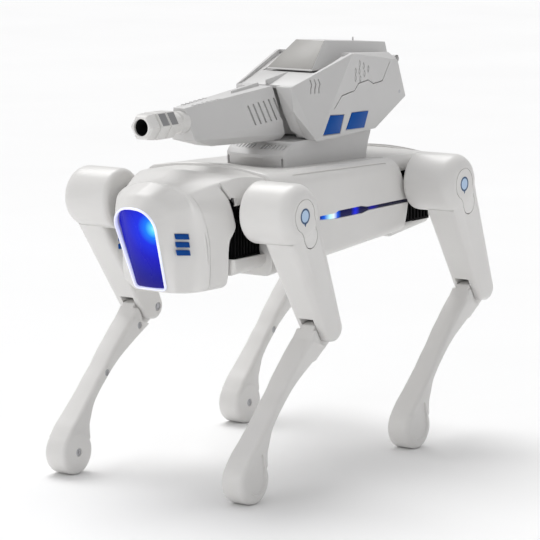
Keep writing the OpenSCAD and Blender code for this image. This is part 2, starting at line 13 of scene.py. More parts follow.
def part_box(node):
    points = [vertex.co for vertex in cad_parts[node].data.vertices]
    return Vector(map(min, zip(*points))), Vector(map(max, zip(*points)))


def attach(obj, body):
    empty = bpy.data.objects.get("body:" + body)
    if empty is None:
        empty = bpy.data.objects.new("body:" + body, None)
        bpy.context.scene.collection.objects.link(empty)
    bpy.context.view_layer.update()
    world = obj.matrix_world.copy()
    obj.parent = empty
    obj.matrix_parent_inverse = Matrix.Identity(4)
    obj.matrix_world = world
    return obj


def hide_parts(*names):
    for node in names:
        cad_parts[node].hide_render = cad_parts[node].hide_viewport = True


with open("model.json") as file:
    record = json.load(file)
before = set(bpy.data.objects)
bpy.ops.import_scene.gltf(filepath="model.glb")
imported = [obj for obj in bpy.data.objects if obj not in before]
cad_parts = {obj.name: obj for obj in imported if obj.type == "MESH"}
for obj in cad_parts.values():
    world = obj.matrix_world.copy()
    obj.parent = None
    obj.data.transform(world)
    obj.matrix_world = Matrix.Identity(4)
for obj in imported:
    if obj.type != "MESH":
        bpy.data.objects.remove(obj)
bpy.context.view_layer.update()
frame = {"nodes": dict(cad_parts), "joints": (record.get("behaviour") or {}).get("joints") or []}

MM = 0.001
JOINTS = {joint["name"]: joint for joint in frame["joints"]}
LEG_NAMES = ("front_left", "front_right", "rear_left", "rear_right")


def joint_point(name):
    """A hinge's point in millimetres."""
    return Vector(JOINTS[name]["pos_m"]) / MM


def node_box(name):
    """A CAD node's lowest and highest corner in millimetres."""
    low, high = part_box(name)
    return low / MM, high / MM


HIP_Z = joint_point("front_left_hip").z
HIP_FRONT_Y = joint_point("front_left_hip").y
HIP_REAR_Y = joint_point("rear_left_hip").y
KNEE = joint_point("front_left_knee") - joint_point("front_left_hip")


# ---------- mesh helpers ----------

def piece(name, vertices, faces, smooth_angle=40):
    """A mesh object from points in millimetres."""
    mesh = bpy.data.meshes.new(name)
    mesh.from_pydata([Vector(v) * MM for v in vertices], [], faces)
    bm = bmesh.new()
    bm.from_mesh(mesh)
    bmesh.ops.recalc_face_normals(bm, faces=bm.faces)
    bm.to_mesh(mesh)
    bm.free()
    obj = bpy.data.objects.new(name, mesh)
    bpy.context.scene.collection.objects.link(obj)
    smooth(obj, smooth_angle)
    return obj


def smooth(obj, angle):
    """Smooth shading, with edges sharper than angle kept crisp."""
    mesh = obj.data
    mesh.shade_smooth()
    bm = bmesh.new()
    bm.from_mesh(mesh)
    limit = math.radians(angle)
    for edge in bm.edges:
        edge.smooth = len(edge.link_faces) == 2 and edge.calc_face_angle() < limit
    bm.to_mesh(mesh)
    bm.free()


def apply_modifiers(obj):
    depsgraph = bpy.context.evaluated_depsgraph_get()
    mesh = bpy.data.meshes.new_from_object(obj.evaluated_get(depsgraph))
    obj.modifiers.clear()
    obj.data = mesh


def hull(name, points, smooth_angle=40):
    """The convex shape round points in millimetres, with its flat facets as single faces."""
    bm = bmesh.new()
    for point in points:
        bm.verts.new(Vector(point) * MM)
    bmesh.ops.convex_hull(bm, input=bm.verts)
    loose = [v for v in bm.verts if not v.link_faces]
    bmesh.ops.delete(bm, geom=loose, context="VERTS")
    bmesh.ops.dissolve_limit(bm, angle_limit=math.radians(0.4), verts=bm.verts, edges=bm.edges)
    bmesh.ops.recalc_face_normals(bm, faces=bm.faces)
    mesh = bpy.data.meshes.new(name)
    bm.to_mesh(mesh)
    bm.free()
    obj = bpy.data.objects.new(name, mesh)
    bpy.context.scene.collection.objects.link(obj)
    smooth(obj, smooth_angle)
    return obj


def bevel(obj, width, segments=3, angle=30, apply=True):
    """Rounds every edge sharper than angle, by a width in millimetres."""
    modifier = obj.modifiers.new("edge", "BEVEL")
    modifier.width = width * MM
    modifier.segments = segments
    modifier.limit_method = "ANGLE"
    modifier.angle_limit = math.radians(angle)
    modifier.harden_normals = False
    modifier.use_clamp_overlap = True
    if apply:
        apply_modifiers(obj)
        smooth(obj, 35)
    return obj


def carve(obj, cutters, operation="DIFFERENCE"):
    """Cuts the cutters out of obj (or joins them to it) and removes them."""
    for cutter in cutters:
        modifier = obj.modifiers.new("cut", "BOOLEAN")
        modifier.operation = operation
        modifier.solver = "EXACT"
        modifier.object = cutter
        apply_modifiers(obj)
    for cutter in cutters:
        bpy.data.objects.remove(cutter)
    return obj


def join(name, objects):
    """Puts several meshes into one object, without welding them."""
    bm = bmesh.new()
    for obj in objects:
        bm.from_mesh(obj.data)
    mesh = bpy.data.meshes.new(name)
    bm.to_mesh(mesh)
    bm.free()
    for obj in objects:
        bpy.data.objects.remove(obj)
    joined = bpy.data.objects.new(name, mesh)
    bpy.context.scene.collection.objects.link(joined)
    return joined


def copy_of(obj, name, mirrored=False, shift=(0, 0, 0)):
    """A separate copy, mirrored across the middle plane if asked, and then shifted (mm)."""
    mesh = obj.data.copy()
    if mirrored:
        mesh.transform(Matrix.Scale(-1, 4, (1, 0, 0)))
        mesh.flip_normals()
    mesh.transform(Matrix.Translation(Vector(shift) * MM))
    made = bpy.data.objects.new(name, mesh)
    bpy.context.scene.collection.objects.link(made)
    return made


def block(low, high):
    """A rectangular cutter between two corners (mm)."""
    corners = [(x, y, z) for x in (low[0], high[0]) for y in (low[1], high[1]) for z in (low[2], high[2])]
    return hull("block", corners)


def prism_x(outline, x0, x1):
    """An outline in (y, z) pushed along X (mm)."""
    count = len(outline)
    points = [(x0, y, z) for y, z in outline] + [(x1, y, z) for y, z in outline]
    faces = [tuple(range(count)), tuple(range(2 * count - 1, count - 1, -1))]
    for i in range(count):
        j = (i + 1) % count
        faces.append((i, j, count + j, count + i))
    return piece("prism", points, faces)


def circle(radius, centre=(0, 0), count=48, start=0, sweep=360):
    """Points on an arc in a plane; a full circle leaves out its repeated end."""
    steps = count if sweep == 360 else count - 1
    angles = [math.radians(start + sweep * i / steps) for i in range(count)]
    return [(centre[0] + radius * math.cos(a), centre[1] + radius * math.sin(a)) for a in angles]


def rod_x(radius, x0, x1, y, z, count=48):
    return prism_x(circle(radius, (y, z), count), x0, x1)


def lathe(name, outline, centre, axis, count=64):
    """Turns an outline of (radius, distance along the axis) about a line through centre."""
    turn = Vector((0, 0, 1)).rotation_difference(Vector(axis)).to_matrix()
    points, faces, size = [], [], len(outline)
    for i in range(count):
        a = 2 * math.pi * i / count
        for radius, along in outline:
            points.append(Vector(centre) + turn @ Vector((radius * math.cos(a), radius * math.sin(a), along)))
    for i in range(count):
        j = (i + 1) % count
        for k in range(size):
            m = (k + 1) % size
            faces.append((i * size + k, j * size + k, j * size + m, i * size + m))
    return piece(name, points, faces)


def spline(points, per_span):
    """A smooth run of points through the given ones (Catmull-Rom)."""
    run = []
    for i in range(len(points) - 1):
        p0 = points[max(i - 1, 0)]
        p1, p2 = points[i], points[i + 1]
        p3 = points[min(i + 2, len(points) - 1)]
        for step in range(per_span):
            t = step / per_span
            run.append(0.5 * (2 * p1 + (p2 - p0) * t + (2 * p0 - 5 * p1 + 4 * p2 - p3) * t * t
                              + (3 * p1 - p0 - 3 * p2 + p3) * t ** 3))
    run.append(points[-1].copy())
    return run


def mirrored_ring(half):
    """A closed ring from its left half, listed from the bottom middle to the top middle."""
    right = [Vector((-p.x, p.y, p.z)) for p in reversed(half[1:-1])]
    return list(half) + right


def loft(name, rings, smooth_angle=40):
    """A closed skin through rings of equal length, with its two ends capped."""
    count = len(rings[0])
    points = [p for ring in rings for p in ring]
    faces = [tuple(range(count)), tuple(range(len(points) - 1, len(points) - 1 - count, -1))]
    for i in range(len(rings) - 1):
        for k in range(count):
            m = (k + 1) % count
            faces.append((i * count + k, i * count + m, (i + 1) * count + m, (i + 1) * count + k))
    return piece(name, points, faces, smooth_angle)


# ---------- materials ----------

def fresh_material(name):
    material = bpy.data.materials.new(name)
    material.use_nodes = True
    nodes = material.node_tree.nodes
    nodes.clear()
    shader = nodes.new("ShaderNodeBsdfPrincipled")
    output = nodes.new("ShaderNodeOutputMaterial")
    material.node_tree.links.new(shader.outputs["BSDF"], output.inputs["Surface"])
    return material, material.node_tree, shader


def noise(tree, scale, detail=3.0, roughness=0.5):
    """Noise over the frame's own coordinates."""
    place = tree.nodes.new("ShaderNodeTexCoord")
    texture = tree.nodes.new("ShaderNodeTexNoise")
    texture.inputs["Scale"].default_value = scale
    texture.inputs["Detail"].default_value = detail
    texture.inputs["Roughness"].default_value = roughness
    tree.links.new(place.outputs["Object"], texture.inputs["Vector"])
    return texture.outputs["Fac"]


def ramp(tree, factor, stops):
    """A colour ramp with stops of (position, colour)."""
    node = tree.nodes.new("ShaderNodeValToRGB")
    elements = node.color_ramp.elements
    while len(elements) > 1:
        elements.remove(elements[-1])
    elements[0].position, elements[0].color = stops[0][0], (*stops[0][1], 1)
    for position, colour in stops[1:]:
        elements.new(position).color = (*colour, 1)
    tree.links.new(factor, node.inputs["Fac"])
    return node.outputs["Color"]


def bump(tree, shader, height, strength, distance=0.0002):
    node = tree.nodes.new("ShaderNodeBump")
    node.inputs["Strength"].default_value = strength
    node.inputs["Distance"].default_value = distance
    tree.links.new(height, node.inputs["Height"])
    tree.links.new(node.outputs["Normal"], shader.inputs["Normal"])


def moulded_plastic(name, dark, light, rough_low, rough_high, grain=0.12, coat=0.0, specular=0.5):
    """Injection-moulded plastic: a fine spark-eroded grain, soft cloudy tone and uneven gloss."""
    material, tree, shader = fresh_material(name)
    tree.links.new(ramp(tree, noise(tree, 22, 4), [(0.3, dark), (0.7, light)]), shader.inputs["Base Color"])
    gloss = ramp(tree, noise(tree, 60, 5), [(0.3, (rough_low,) * 3), (0.75, (rough_high,) * 3)])
    tree.links.new(gloss, shader.inputs["Roughness"])
    bump(tree, shader, noise(tree, 2600, 2, 0.6), grain, 0.00005)
    shader.inputs["Specular IOR Level"].default_value = specular
    shader.inputs["Coat Weight"].default_value = coat
    shader.inputs["Coat Roughness"].default_value = 0.12
    return material


def glow_plastic(name, centre, stops, reach, strength, base=(0.01, 0.02, 0.2), rough=0.08):
    """Glossy plastic lit from behind: light falls off from a point (mm) through colour stops."""
    material, tree, shader = fresh_material(name)
    place = tree.nodes.new("ShaderNodeTexCoord")
    distance = tree.nodes.new("ShaderNodeVectorMath")
    distance.operation = "DISTANCE"
    distance.inputs[1].default_value = Vector(centre) * MM
    tree.links.new(place.outputs["Object"], distance.inputs[0])
    scale = tree.nodes.new("ShaderNodeMath")
    scale.operation = "DIVIDE"
    scale.inputs[1].default_value = reach * MM
    tree.links.new(distance.outputs["Value"], scale.inputs[0])
    ripple = tree.nodes.new("ShaderNodeMath")
    ripple.operation = "MULTIPLY_ADD"
    ripple.inputs[1].default_value = 0.06
    tree.links.new(noise(tree, 45, 2), ripple.inputs[0])
    tree.links.new(scale.outputs["Value"], ripple.inputs[2])
    colour = ramp(tree, ripple.outputs["Value"], stops)
    tree.links.new(colour, shader.inputs["Emission Color"])
    shader.inputs["Emission Strength"].default_value = strength
    tone = ramp(tree, noise(tree, 90, 3), [(0.3, base), (0.7, tuple(c * 1.25 for c in base))])
    tree.links.new(tone, shader.inputs["Base Color"])
    shader.inputs["Roughness"].default_value = rough
    shader.inputs["Specular IOR Level"].default_value = 0.22
    return material


def strip_glow(name):
    """Glossy navy strip lit from behind in two places along its length (frame metres along Y)."""
    material, tree, shader = fresh_material(name)
    place = tree.nodes.new("ShaderNodeTexCoord")
    split = tree.nodes.new("ShaderNodeSeparateXYZ")
    tree.links.new(place.outputs["Object"], split.inputs["Vector"])
    along = tree.nodes.new("ShaderNodeMapRange")
    along.inputs["From Min"].default_value = -19 * MM
    along.inputs["From Max"].default_value = 87 * MM
    tree.links.new(split.outputs["Y"], along.inputs["Value"])
    stops = [(0.0, (0.0, 0.01, 0.22)), (0.05, (0.0, 0.12, 0.80)), (0.11, (0.55, 1.0, 1.0)), (0.15, (0.85, 1.0, 1.0)),
             (0.19, (0.0, 0.10, 0.80)), (0.23, (0.0, 0.0, 0.06)), (0.34, (0.0, 0.0, 0.05)), (0.39, (0.0, 0.01, 0.75)),
             (0.44, (0.0, 0.0, 0.05)), (0.52, (0.0, 0.0, 0.02)), (0.57, (0.0, 0.0, 0.30)), (0.66, (0.0, 0.0, 0.02)),
             (1.0, (0.0, 0.0, 0.003))]
    tree.links.new(ramp(tree, along.outputs["Result"], stops), shader.inputs["Emission Color"])
    shader.inputs["Emission Strength"].default_value = 1.0
    tone = ramp(tree, noise(tree, 90, 3), [(0.3, (0.001, 0.001, 0.008)), (0.7, (0.002, 0.002, 0.012))])
    tree.links.new(tone, shader.inputs["Base Color"])
    shader.inputs["Roughness"].default_value = 0.3
    shader.inputs["Specular IOR Level"].default_value = 0.12
    return material


def metal(name, colour, rough, scratch_scale=900):
    material, tree, shader = fresh_material(name)
    tone = ramp(tree, noise(tree, 120, 4), [(0.3, tuple(c * 0.8 for c in colour)), (0.7, colour)])
    tree.links.new(tone, shader.inputs["Base Color"])
    shader.inputs["Metallic"].default_value = 1.0
    gloss = ramp(tree, noise(tree, 300, 4), [(0.3, (rough,) * 3), (0.75, (rough + 0.18,) * 3)])
    tree.links.new(gloss, shader.inputs["Roughness"])
    bump(tree, shader, noise(tree, scratch_scale, 3), 0.15, 0.00004)
    return material


WHITE = moulded_plastic("white_abs", (0.715, 0.705, 0.69), (0.745, 0.735, 0.72), 0.30, 0.38, grain=0.05)
TURRET = moulded_plastic("turret_abs", (0.60, 0.595, 0.59), (0.63, 0.625, 0.62), 0.38, 0.46, grain=0.08)
# The hood front panel's darker grey is painted shade, standing in for the shade on the hood's front facet.
HOOD_PAINTED_SHADE = moulded_plastic("hood_painted_shade", (0.30, 0.29, 0.275), (0.325, 0.315, 0.30), 0.4, 0.5, grain=0.06)
BLACK = moulded_plastic("black_nylon", (0.0012, 0.0012, 0.0014), (0.003, 0.003, 0.0034), 0.6, 0.75, grain=0.1,
                        specular=0.08)
BLUE = moulded_plastic("blue_insert", (0.0, 0.07, 0.33), (0.002, 0.085, 0.38), 0.3, 0.4, grain=0.05, specular=0.12)
BAR_BLUE = moulded_plastic("bar_blue", (0.0, 0.05, 0.24), (0.002, 0.06, 0.29), 0.3, 0.4, grain=0.05, specular=0.12)
MUZZLE_GREY = moulded_plastic("muzzle_grey", (0.24, 0.24, 0.245), (0.28, 0.28, 0.285), 0.4, 0.5, grain=0.08)
PALE_BLUE = moulded_plastic("pale_blue_print", (0.42, 0.58, 0.80), (0.50, 0.66, 0.86), 0.3, 0.4)
RING_BLUE = moulded_plastic("ring_blue_print", (0.015, 0.06, 0.16), (0.02, 0.08, 0.20), 0.28, 0.38)
GREY = moulded_plastic("grey_nylon", (0.16, 0.16, 0.17), (0.22, 0.22, 0.23), 0.4, 0.55)
BOARD = moulded_plastic("circuit_board", (0.010, 0.09, 0.035), (0.016, 0.13, 0.05), 0.3, 0.45)
WRAP = moulded_plastic("battery_wrap", (0.02, 0.06, 0.30), (0.03, 0.09, 0.38), 0.25, 0.4)
STEEL = metal("screw_steel", (0.50, 0.50, 0.52), 0.28)
SPEAKER = metal("speaker_metal", (0.12, 0.12, 0.125), 0.4)
# Near-black painted shadow for the inside of the barrel's bore.
BORE_PAINTED_SHADOW = moulded_plastic("bore_shadow", (0.004, 0.004, 0.0045), (0.01, 0.01, 0.011), 0.45, 0.6)


def dress(obj, material, body, slot_name, *stands_for):
    """Gives a piece its material and body, and hides the CAD nodes that it stands for; slot_name is not used."""
    obj.data.materials.clear()
    obj.data.materials.append(material)
    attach(obj, body)
    if stands_for:
        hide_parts(*stands_for)
    return obj


def repaint(node, material, edge=0.0):
    """A CAD node that keeps its shape gets a better material, and soft edges if asked."""
    obj = frame["nodes"][node]
    obj.data.materials.clear()
    obj.data.materials.append(material)
    if edge:
        modifier = obj.modifiers.new("edge", "BEVEL")
        modifier.width = edge * MM
        modifier.segments = 2
        modifier.limit_method = "ANGLE"
        modifier.angle_limit = math.radians(32)
    return obj


# ---------- head ----------

FACE_LEAN = math.radians(20.6)
FACE_FOOT = Vector((0, -132.1, 127.6))
FACE_X = Vector((1, 0, 0))
FACE_UP = Vector((0, -math.sin(FACE_LEAN), math.cos(FACE_LEAN)))
FACE_OUT = Vector((0, -math.cos(FACE_LEAN), -math.sin(FACE_LEAN)))
SPLIT_Z = node_box("lower_body_shell")[1].z


def on_face(x, up, out):
    return FACE_FOOT + FACE_X * x + FACE_UP * up + FACE_OUT * out


def face_half(margin):
    """Left half of the lens outline, grown by margin, from the bottom middle to the top middle."""
    corner = [(9.0 + (2 + margin) * math.cos(a), 2 + (2 + margin) * math.sin(a))
              for a in [math.radians(-90 + 15 * i) for i in range(7)]]
    top = [(2.6 + (11.7 + margin) * math.cos(a), 41.8 + (11.9 + margin) * math.sin(a))
           for a in [math.radians(9 * i) for i in range(10)]]
    side = [(11.0 + margin + 3.3 * t, 2 + 40 * t) for t in (0.2, 0.4, 0.6, 0.8)]
    return [(0, -margin), (4.5, -margin)] + corner + side + top + [(0, 53.9 + margin)]


def lens_bulge(x, up):
    """How far the lens stands out, as it curves back towards its sides."""
    return 0.4 - 0.012 * (0.6 + up / 54) * x * x


# Left half of each head section, from the bottom middle, round the cheek, to the top middle.
HEAD_STATIONS = [
    [(0, -127.2, 124.4), (10, -127.6, 124.4), (15.3, -128.4, 125.2), (17.6, -129.8, 128.2), (18.6, -131.2, 134),
     (19.4, -132.3, 141), (20.6, -134.6, 155), (21.9, -136.5, 167), (21.9, -138, 173.5), (21.2, -139.4, 177.6),
     (19.4, -140.6, 180.6), (11, -143.6, 185.4), (0, -144.8, 187.2)],
    [(0, -122.8, 124), (14, -122.6, 124), (21.4, -122, 124.8), (24.4, -121.4, 128), (25.4, -122, 134),
     (26, -122.8, 141), (26.6, -124.6, 155), (27.3, -126.4, 167), (27.8, -128, 175), (27.2, -128.8, 181),
     (24, -129.2, 185.4), (13, -130.6, 190.6), (0, -131.4, 192.6)],
    [(0, -115.8, 124.4), (18, -115.8, 124.5), (27, -115.8, 125.2), (32.2, -115.8, 127.8), (33.6, -115.8, 133.5),
     (34, -115.8, 141), (34.2, -116.6, 155), (34, -120, 167), (33, -123.4, 176), (30.4, -125, 182.2),
     (25.3, -125.4, 186.8), (14, -126.6, 191.8), (0, -127.4, 193.8)],
    [(0, -99.2, 127), (22, -99.2, 127), (34, -99.2, 127.2), (41, -99.2, 129.6), (43.4, -99.2, 134.5),
     (44, -99.2, 141), (44, -99.2, 155), (44, -99.2, 167), (43.4, -99.2, 176), (41, -99.2, 184.4),
     (34.6, -99.2, 193.2), (20, -99.2, 196.4), (0, -99.2, 197.4)],
    [(0, -84, 129), (22, -84, 129), (34, -84, 129.2), (41, -84, 131.4), (44, -84, 136),
     (44.6, -84, 142), (45, -84, 155), (45, -84, 167), (44.8, -84, 177), (43, -84, 186),
     (38, -84, 194), (22, -84, 194.6), (0, -84, 194.6)],
    [(0, -71.5, 131), (22, -71.5, 131), (36, -71.5, 131.2), (43, -71.5, 133.6), (46, -71.5, 138),
     (47, -71.5, 144), (48, -71.5, 155), (48.5, -71.5, 167), (48.8, -71.5, 177), (48.8, -71.5, 186),
     (44.5, -71.5, 192.6), (24, -71.5, 196.2), (0, -71.5, 197.4)],
]
RIDGE_INDEX = 10
SPAN_STEPS = 5


def head_profiles():
    """Half sections for every station: smooth below the ridge line and above it, with a crease between."""
    made = []
    for station in HEAD_STATIONS:
        points = [Vector(p) for p in station]
        made.append(spline(points[:RIDGE_INDEX + 1], SPAN_STEPS)[:-1] + spline(points[RIDGE_INDEX:], SPAN_STEPS))
    return made


def between(profiles, index, t):
    """A half section between station index and the next one, smoothly."""
    last = len(profiles) - 1
    around = [profiles[max(index - 1, 0)], profiles[index], profiles[min(index + 1, last)],
              profiles[min(index + 2, last)]]
    made = []
    for p0, p1, p2, p3 in zip(*around):
        made.append(0.5 * (2 * p1 + (p2 - p0) * t + (2 * p0 - 5 * p1 + 4 * p2 - p3) * t * t
                           + (3 * p1 - p0 - 3 * p2 + p3) * t ** 3))
    return made


def face_edge_profile(margin, out, count):
    """The face's rim with the same number of points as a head section."""
    half = [on_face(x, up, out) for x, up in face_half(margin)]
    lengths = [0.0]
    for a, b in zip(half, half[1:]):
        lengths.append(lengths[-1] + (b - a).length)
    points = []
    for i in range(count):
        goal = lengths[-1] * i / (count - 1)
        k = max(j for j in range(len(half) - 1) if lengths[j] <= goal + 1e-9)
        span = lengths[k + 1] - lengths[k]
        points.append(half[k].lerp(half[k + 1], (goal - lengths[k]) / span if span else 0))
    return points


def sink(half, amount, below_ridge):
    """A half section drawn inwards, all over or only under the ridge line."""
    middle = Vector((0, half[0].y, 160))
    moved = []
    for i, p in enumerate(half):
        share = 1.0 if not below_ridge or i <= RIDGE_INDEX * SPAN_STEPS - 2 else 0.0
        away = Vector((p.x, 0, p.z - middle.z))
        moved.append(p - away.normalized() * amount * share if away.length else p.copy())
    return moved


def joint_y(z):
    """The pointed joint line behind the cheek, as seen from the side."""
    line = [(110, -104.8), (150, -104.8), (157, -104.2), (163, -100.6), (166, -99.8), (169, -100.6),
            (181.5, -103), (190.8, -106.5), (200, -110), (220, -112)]
    for (z0, y0), (z1, y1) in zip(line, line[1:]):
        if z0 <= z <= z1:
            return y0 + (y1 - y0) * (z - z0) / (z1 - z0)
    return line[-1][1]


def neck_point(profiles, index, y):
    """A point of the half section at station y, from the seam back to the trunk, on a smooth run."""
    run = [profile[index] for profile in profiles[1:]]
    last = len(run) - 1
    for i in range(1, last):
        a, b = run[i], run[i + 1]
        if y <= b.y or i == last - 1:
            t = min(1.0, max(0.0, (y - a.y) / (b.y - a.y)))
            p0, p3 = run[i - 1], run[min(i + 2, last)]
            point = 0.5 * (2 * a + (b - p0) * t + (2 * p0 - 5 * a + 4 * b - p3) * t * t
                           + (3 * a - p0 - 3 * b + p3) * t ** 3)
            return Vector((point.x, a.y + (b.y - a.y) * t, point.z))


def make_head():
    profiles = head_profiles()
    count = len(profiles[0])
    halves = [face_edge_profile(1.7, -0.5, count), face_edge_profile(2.1, -1.2, count)]
    for t in (0.25, 0.5, 0.75):
        first = face_edge_profile(2.1, -1.2, count)
        halves.append([a.lerp(b, t) for a, b in zip(first, profiles[0])])
    for index in (0, 1):
        for step in range(SPAN_STEPS):
            halves.append(between(profiles, index, step / SPAN_STEPS))
    seam = profiles[2]
    lip = [Vector((p.x, p.y - 0.45, p.z)) for p in seam]
    halves += [lip, sink(seam, 0.5, True)]
    skin = loft("head_skin", [mirrored_ring(h) for h in halves])
    pocket = loft("pocket", [[on_face(x, up, out) for x, up in face_loop(0.5)] for out in (-7, 5)])
    bars = [bar_block(side, i, 0.35) for side in (1, -1) for i in range(3)]
    carve(skin, [pocket] + bars)
    smooth(skin, 38)
    dress(skin, WHITE, "body", "white_shell", "head_shell")
    rings = []
    for share in (0.0, 0.02, 0.25, 0.5, 0.75, 0.9, 1.0):
        half = []
        for i in range(count):
            start = seam[i]
            half.append(neck_point(profiles, i, start.y + (collar_end(start) - start.y) * share))
        if share == 0.0:
            half = sink(half, 0.5, True)
        if share == 1.0:
            half = sink(half, 1.9, True)
        rings.append(mirrored_ring(half))
    collar = loft("head_collar_skin", rings, 32)
    dress(collar, WHITE, "body", "white_shell", "head_collar")


def collar_end(start):
    """Where the collar stops, for a point of its front edge."""
    return max(joint_y(start.z), start.y + 0.9)


def face_loop(margin):
    half = face_half(margin)
    return half + [(-x, up) for x, up in reversed(half[1:-1])]


def bar_block(side, index, gap):
    """One slanted cheek bar as a block; gap grows it for its recess."""
    centre = Vector((24.3 + 0.2 * index, -131.5 + 0.35 * index, 161.2 - 5 * index))
    along = Vector((4.9, 9.4, 0)).normalized()
    out = Vector((along.y, -along.x, 0))
    up = Vector((0, 0, 1)) - along * 0.2
    points = []
    for a in (-4.6 - gap, 4.6 + gap):
        for b in (-1.7 - gap, 1.7 + gap):
            for c in (-1.2, 0.25 + gap * 4):
                p = centre + along * a + up * b + out * c
                points.append((side * p.x, p.y, p.z - 0.076 * a))
    return hull("bar", points)


def make_cheek_bars():
    bars = [bar_block(side, i, 0) for side in (1, -1) for i in range(3)]
    made = join("cheek_bars", bars)
    bevel(made, 0.3, 2)
    dress(made, BAR_BLUE, "body", "blue_trim", "head_side_bars")


def make_face():
    """The pale rim and the bulging lens, each a loft over the face's own outline."""
    levels = ((1.6, -1.6), (1.65, 0.1), (1.5, 0.55), (1.15, 0.8), (0.65, 0.7), (0.35, 0.35), (0.3, -1.6))
    rings = [[on_face(x, up, out) for x, up in face_loop(margin)] for margin, out in levels]
    count = len(rings[0])
    points = [p for ring in rings for p in ring]
    faces = []
    for i in range(len(rings)):
        j = (i + 1) % len(rings)
        for k in range(count):
            m = (k + 1) % count
            faces.append((i * count + k, i * count + m, j * count + m, j * count + k))
    rim = piece("face_rim", points, faces, 60)
    rim_glow = glow_plastic("rim_glow", on_face(8, 26, 0), [(0.0, (0.80, 0.92, 1.0)), (0.5, (0.62, 0.68, 1.0)),
                            (1.0, (0.50, 0.50, 0.95))], 46, 0.45, (0.66, 0.66, 0.70), 0.25)
    dress(rim, rim_glow, "body", "pale_trim", "face_bezel")
    rings = []
    for share, drop in ((1.0, -1.5), (1.0, -0.5), (0.985, -0.15), (0.95, 0.0), (0.8, 0.0), (0.6, 0.0),
                        (0.4, 0.0), (0.2, 0.0), (0.02, 0.0)):
        ring = []
        for x, up in face_loop(0.15):
            x, up = x * share, 27 + (up - 27) * share
            ring.append(on_face(x, up, lens_bulge(x, up) + drop))
        rings.append(ring)
    lens = loft("face_lens_skin", rings, 60)
    stops = [(0.0, (0.60, 1.0, 1.0)), (0.08, (0.10, 0.70, 1.0)), (0.16, (0.0, 0.20, 1.0)), (0.27, (0.0, 0.02, 0.80)),
             (0.48, (0.0, 0.0, 0.50)), (0.75, (0.0, 0.0, 0.28)), (1.0, (0.01, 0.0, 0.16))]
    glow = glow_plastic("lens_glow", on_face(13.2, 41, -1.5), stops, 48, 1.0, (0.001, 0.001, 0.02), 0.12)
    dress(lens, glow, "body", "lens", "face_lens")


# ---------- trunk ----------

TRUNK_HALF = 50.0
CARRIER_FRONT = node_box("hip_carrier_front")
CARRIER_REAR = node_box("hip_carrier_rear")
CARRIER_TOP = CARRIER_FRONT[1].z
CARRIER_BOTTOM = CARRIER_FRONT[0].z
TRUNK_FRONT_Y = -72.4


def belly_z(y):
    return 135.4 + 0.068 * y


def back_z(y):
    return 193.4 - 0.029 * y


def trunk_half_profile(half_w, z0, z1, r_low, r_high, crown):
    """Left half of a rounded trunk section, from the bottom middle to the top middle."""
    points = [(0, z0), (half_w * 0.4, z0), (half_w * 0.7, z0)]
    points += circle(r_low, (half_w - r_low, z0 + r_low), 9, -90, 90)
    points += [(half_w, z0 + r_low + (z1 - r_high - z0 - r_low) * t) for t in (0.15, 0.3, 0.45, 0.6, 0.75, 0.9)]
    points += circle(r_high, (half_w - r_high, z1 - r_high), 11, 0, 84)
    side = half_w - r_high
    points += [(side * t, z1 + crown * (1 - t * t)) for t in (0.8, 0.6, 0.4, 0.2, 0.0)]
    return points


def rear_point_y(z):
    """The pointed rear edge of the wide trunk, as seen from the side."""
    line = [(100, 84), (141, 84), (146, 85.4), (150, 86.2), (161, 87.6), (164, 88), (167, 87.2),
            (190, 74.6), (193, 73.2), (230, 73.2)]
    for (z0, y0), (z1, y1) in zip(line, line[1:]):
        if z0 <= z <= z1:
            return y0 + (y1 - y0) * (z - z0) / (z1 - z0)
    return line[-1][1]


def trunk_skin(name, z_low, z_high):
    """The wide trunk between two heights, with soft lips at both ends."""
    stations = [(0.0, 1.4), (0.002, 0.5), (0.006, 0.12), (0.012, 0.0), (0.12, 0.0), (0.25, 0.0), (0.38, 0.0),
                (0.5, 0.0), (0.62, 0.0), (0.75, 0.0), (0.88, 0.0), (0.988, 0.0), (0.994, 0.12),
                (0.998, 0.5), (1.0, 1.4)]
    rings = []
    for share, inset in stations:
        ring = []
        for x, z in trunk_outline(inset):
            y = TRUNK_FRONT_Y + (rear_point_y(z) - TRUNK_FRONT_Y) * share
            shift = belly_z(y) - belly_z(0) if z < 160 else back_z(y) - back_z(0)
            weight = min(1.0, abs(z - 162) / 18)
            dish = 0.0
            if z > 190 and x < 40:
                rise = max(0.0, min(1.0, (y + 70) / 45))
                dish = (1 - (x / 40.5) ** 2) * (3.6 - 6.1 * rise * rise * (3 - 2 * rise))
            ring.append(Vector((x, y, z + shift * weight + dish)))
        rings.append(mirrored_ring(ring))
    whole = loft(name, rings)
    bm = bmesh.new()
    bm.from_mesh(whole.data)
    for height, side in ((z_low, -1), (z_high, 1)):
        cut = bmesh.ops.bisect_plane(bm, geom=bm.verts[:] + bm.edges[:] + bm.faces[:],
                                     plane_co=(0, 0, height * MM), plane_no=(0, 0, side), clear_outer=True)
        rim = [e for e in cut["geom_cut"] if isinstance(e, bmesh.types.BMEdge)]
        if rim:
            bmesh.ops.edgeloop_fill(bm, edges=rim)
    bmesh.ops.recalc_face_normals(bm, faces=bm.faces)
    bm.to_mesh(whole.data)
    bm.free()
    return whole


def trunk_outline(inset):
    """Half section of the wide trunk at y = 0, drawn in by inset."""
    return trunk_half_profile(TRUNK_HALF - inset, belly_z(0) + inset, back_z(0) - inset, 6.5, 9.5, 0)


def light_outline(margin):
    """The side light in (y, z): a narrow strip with a wider stretch ahead of its middle."""
    z = SPLIT_Z - 0.8
    narrow, wide = 1.0 + margin, 2.2 + margin
    return [(-19 - margin, z - narrow), (-3 - margin, z - wide), (30 + margin, z - wide), (38, z - narrow),
            (86.6 + margin, z - narrow), (86.6 + margin, z + narrow), (36 + margin, z + narrow),
            (30 + margin, z + wide), (3 - margin, z + wide), (-1 - margin, z + narrow), (-19 - margin, z + narrow)]


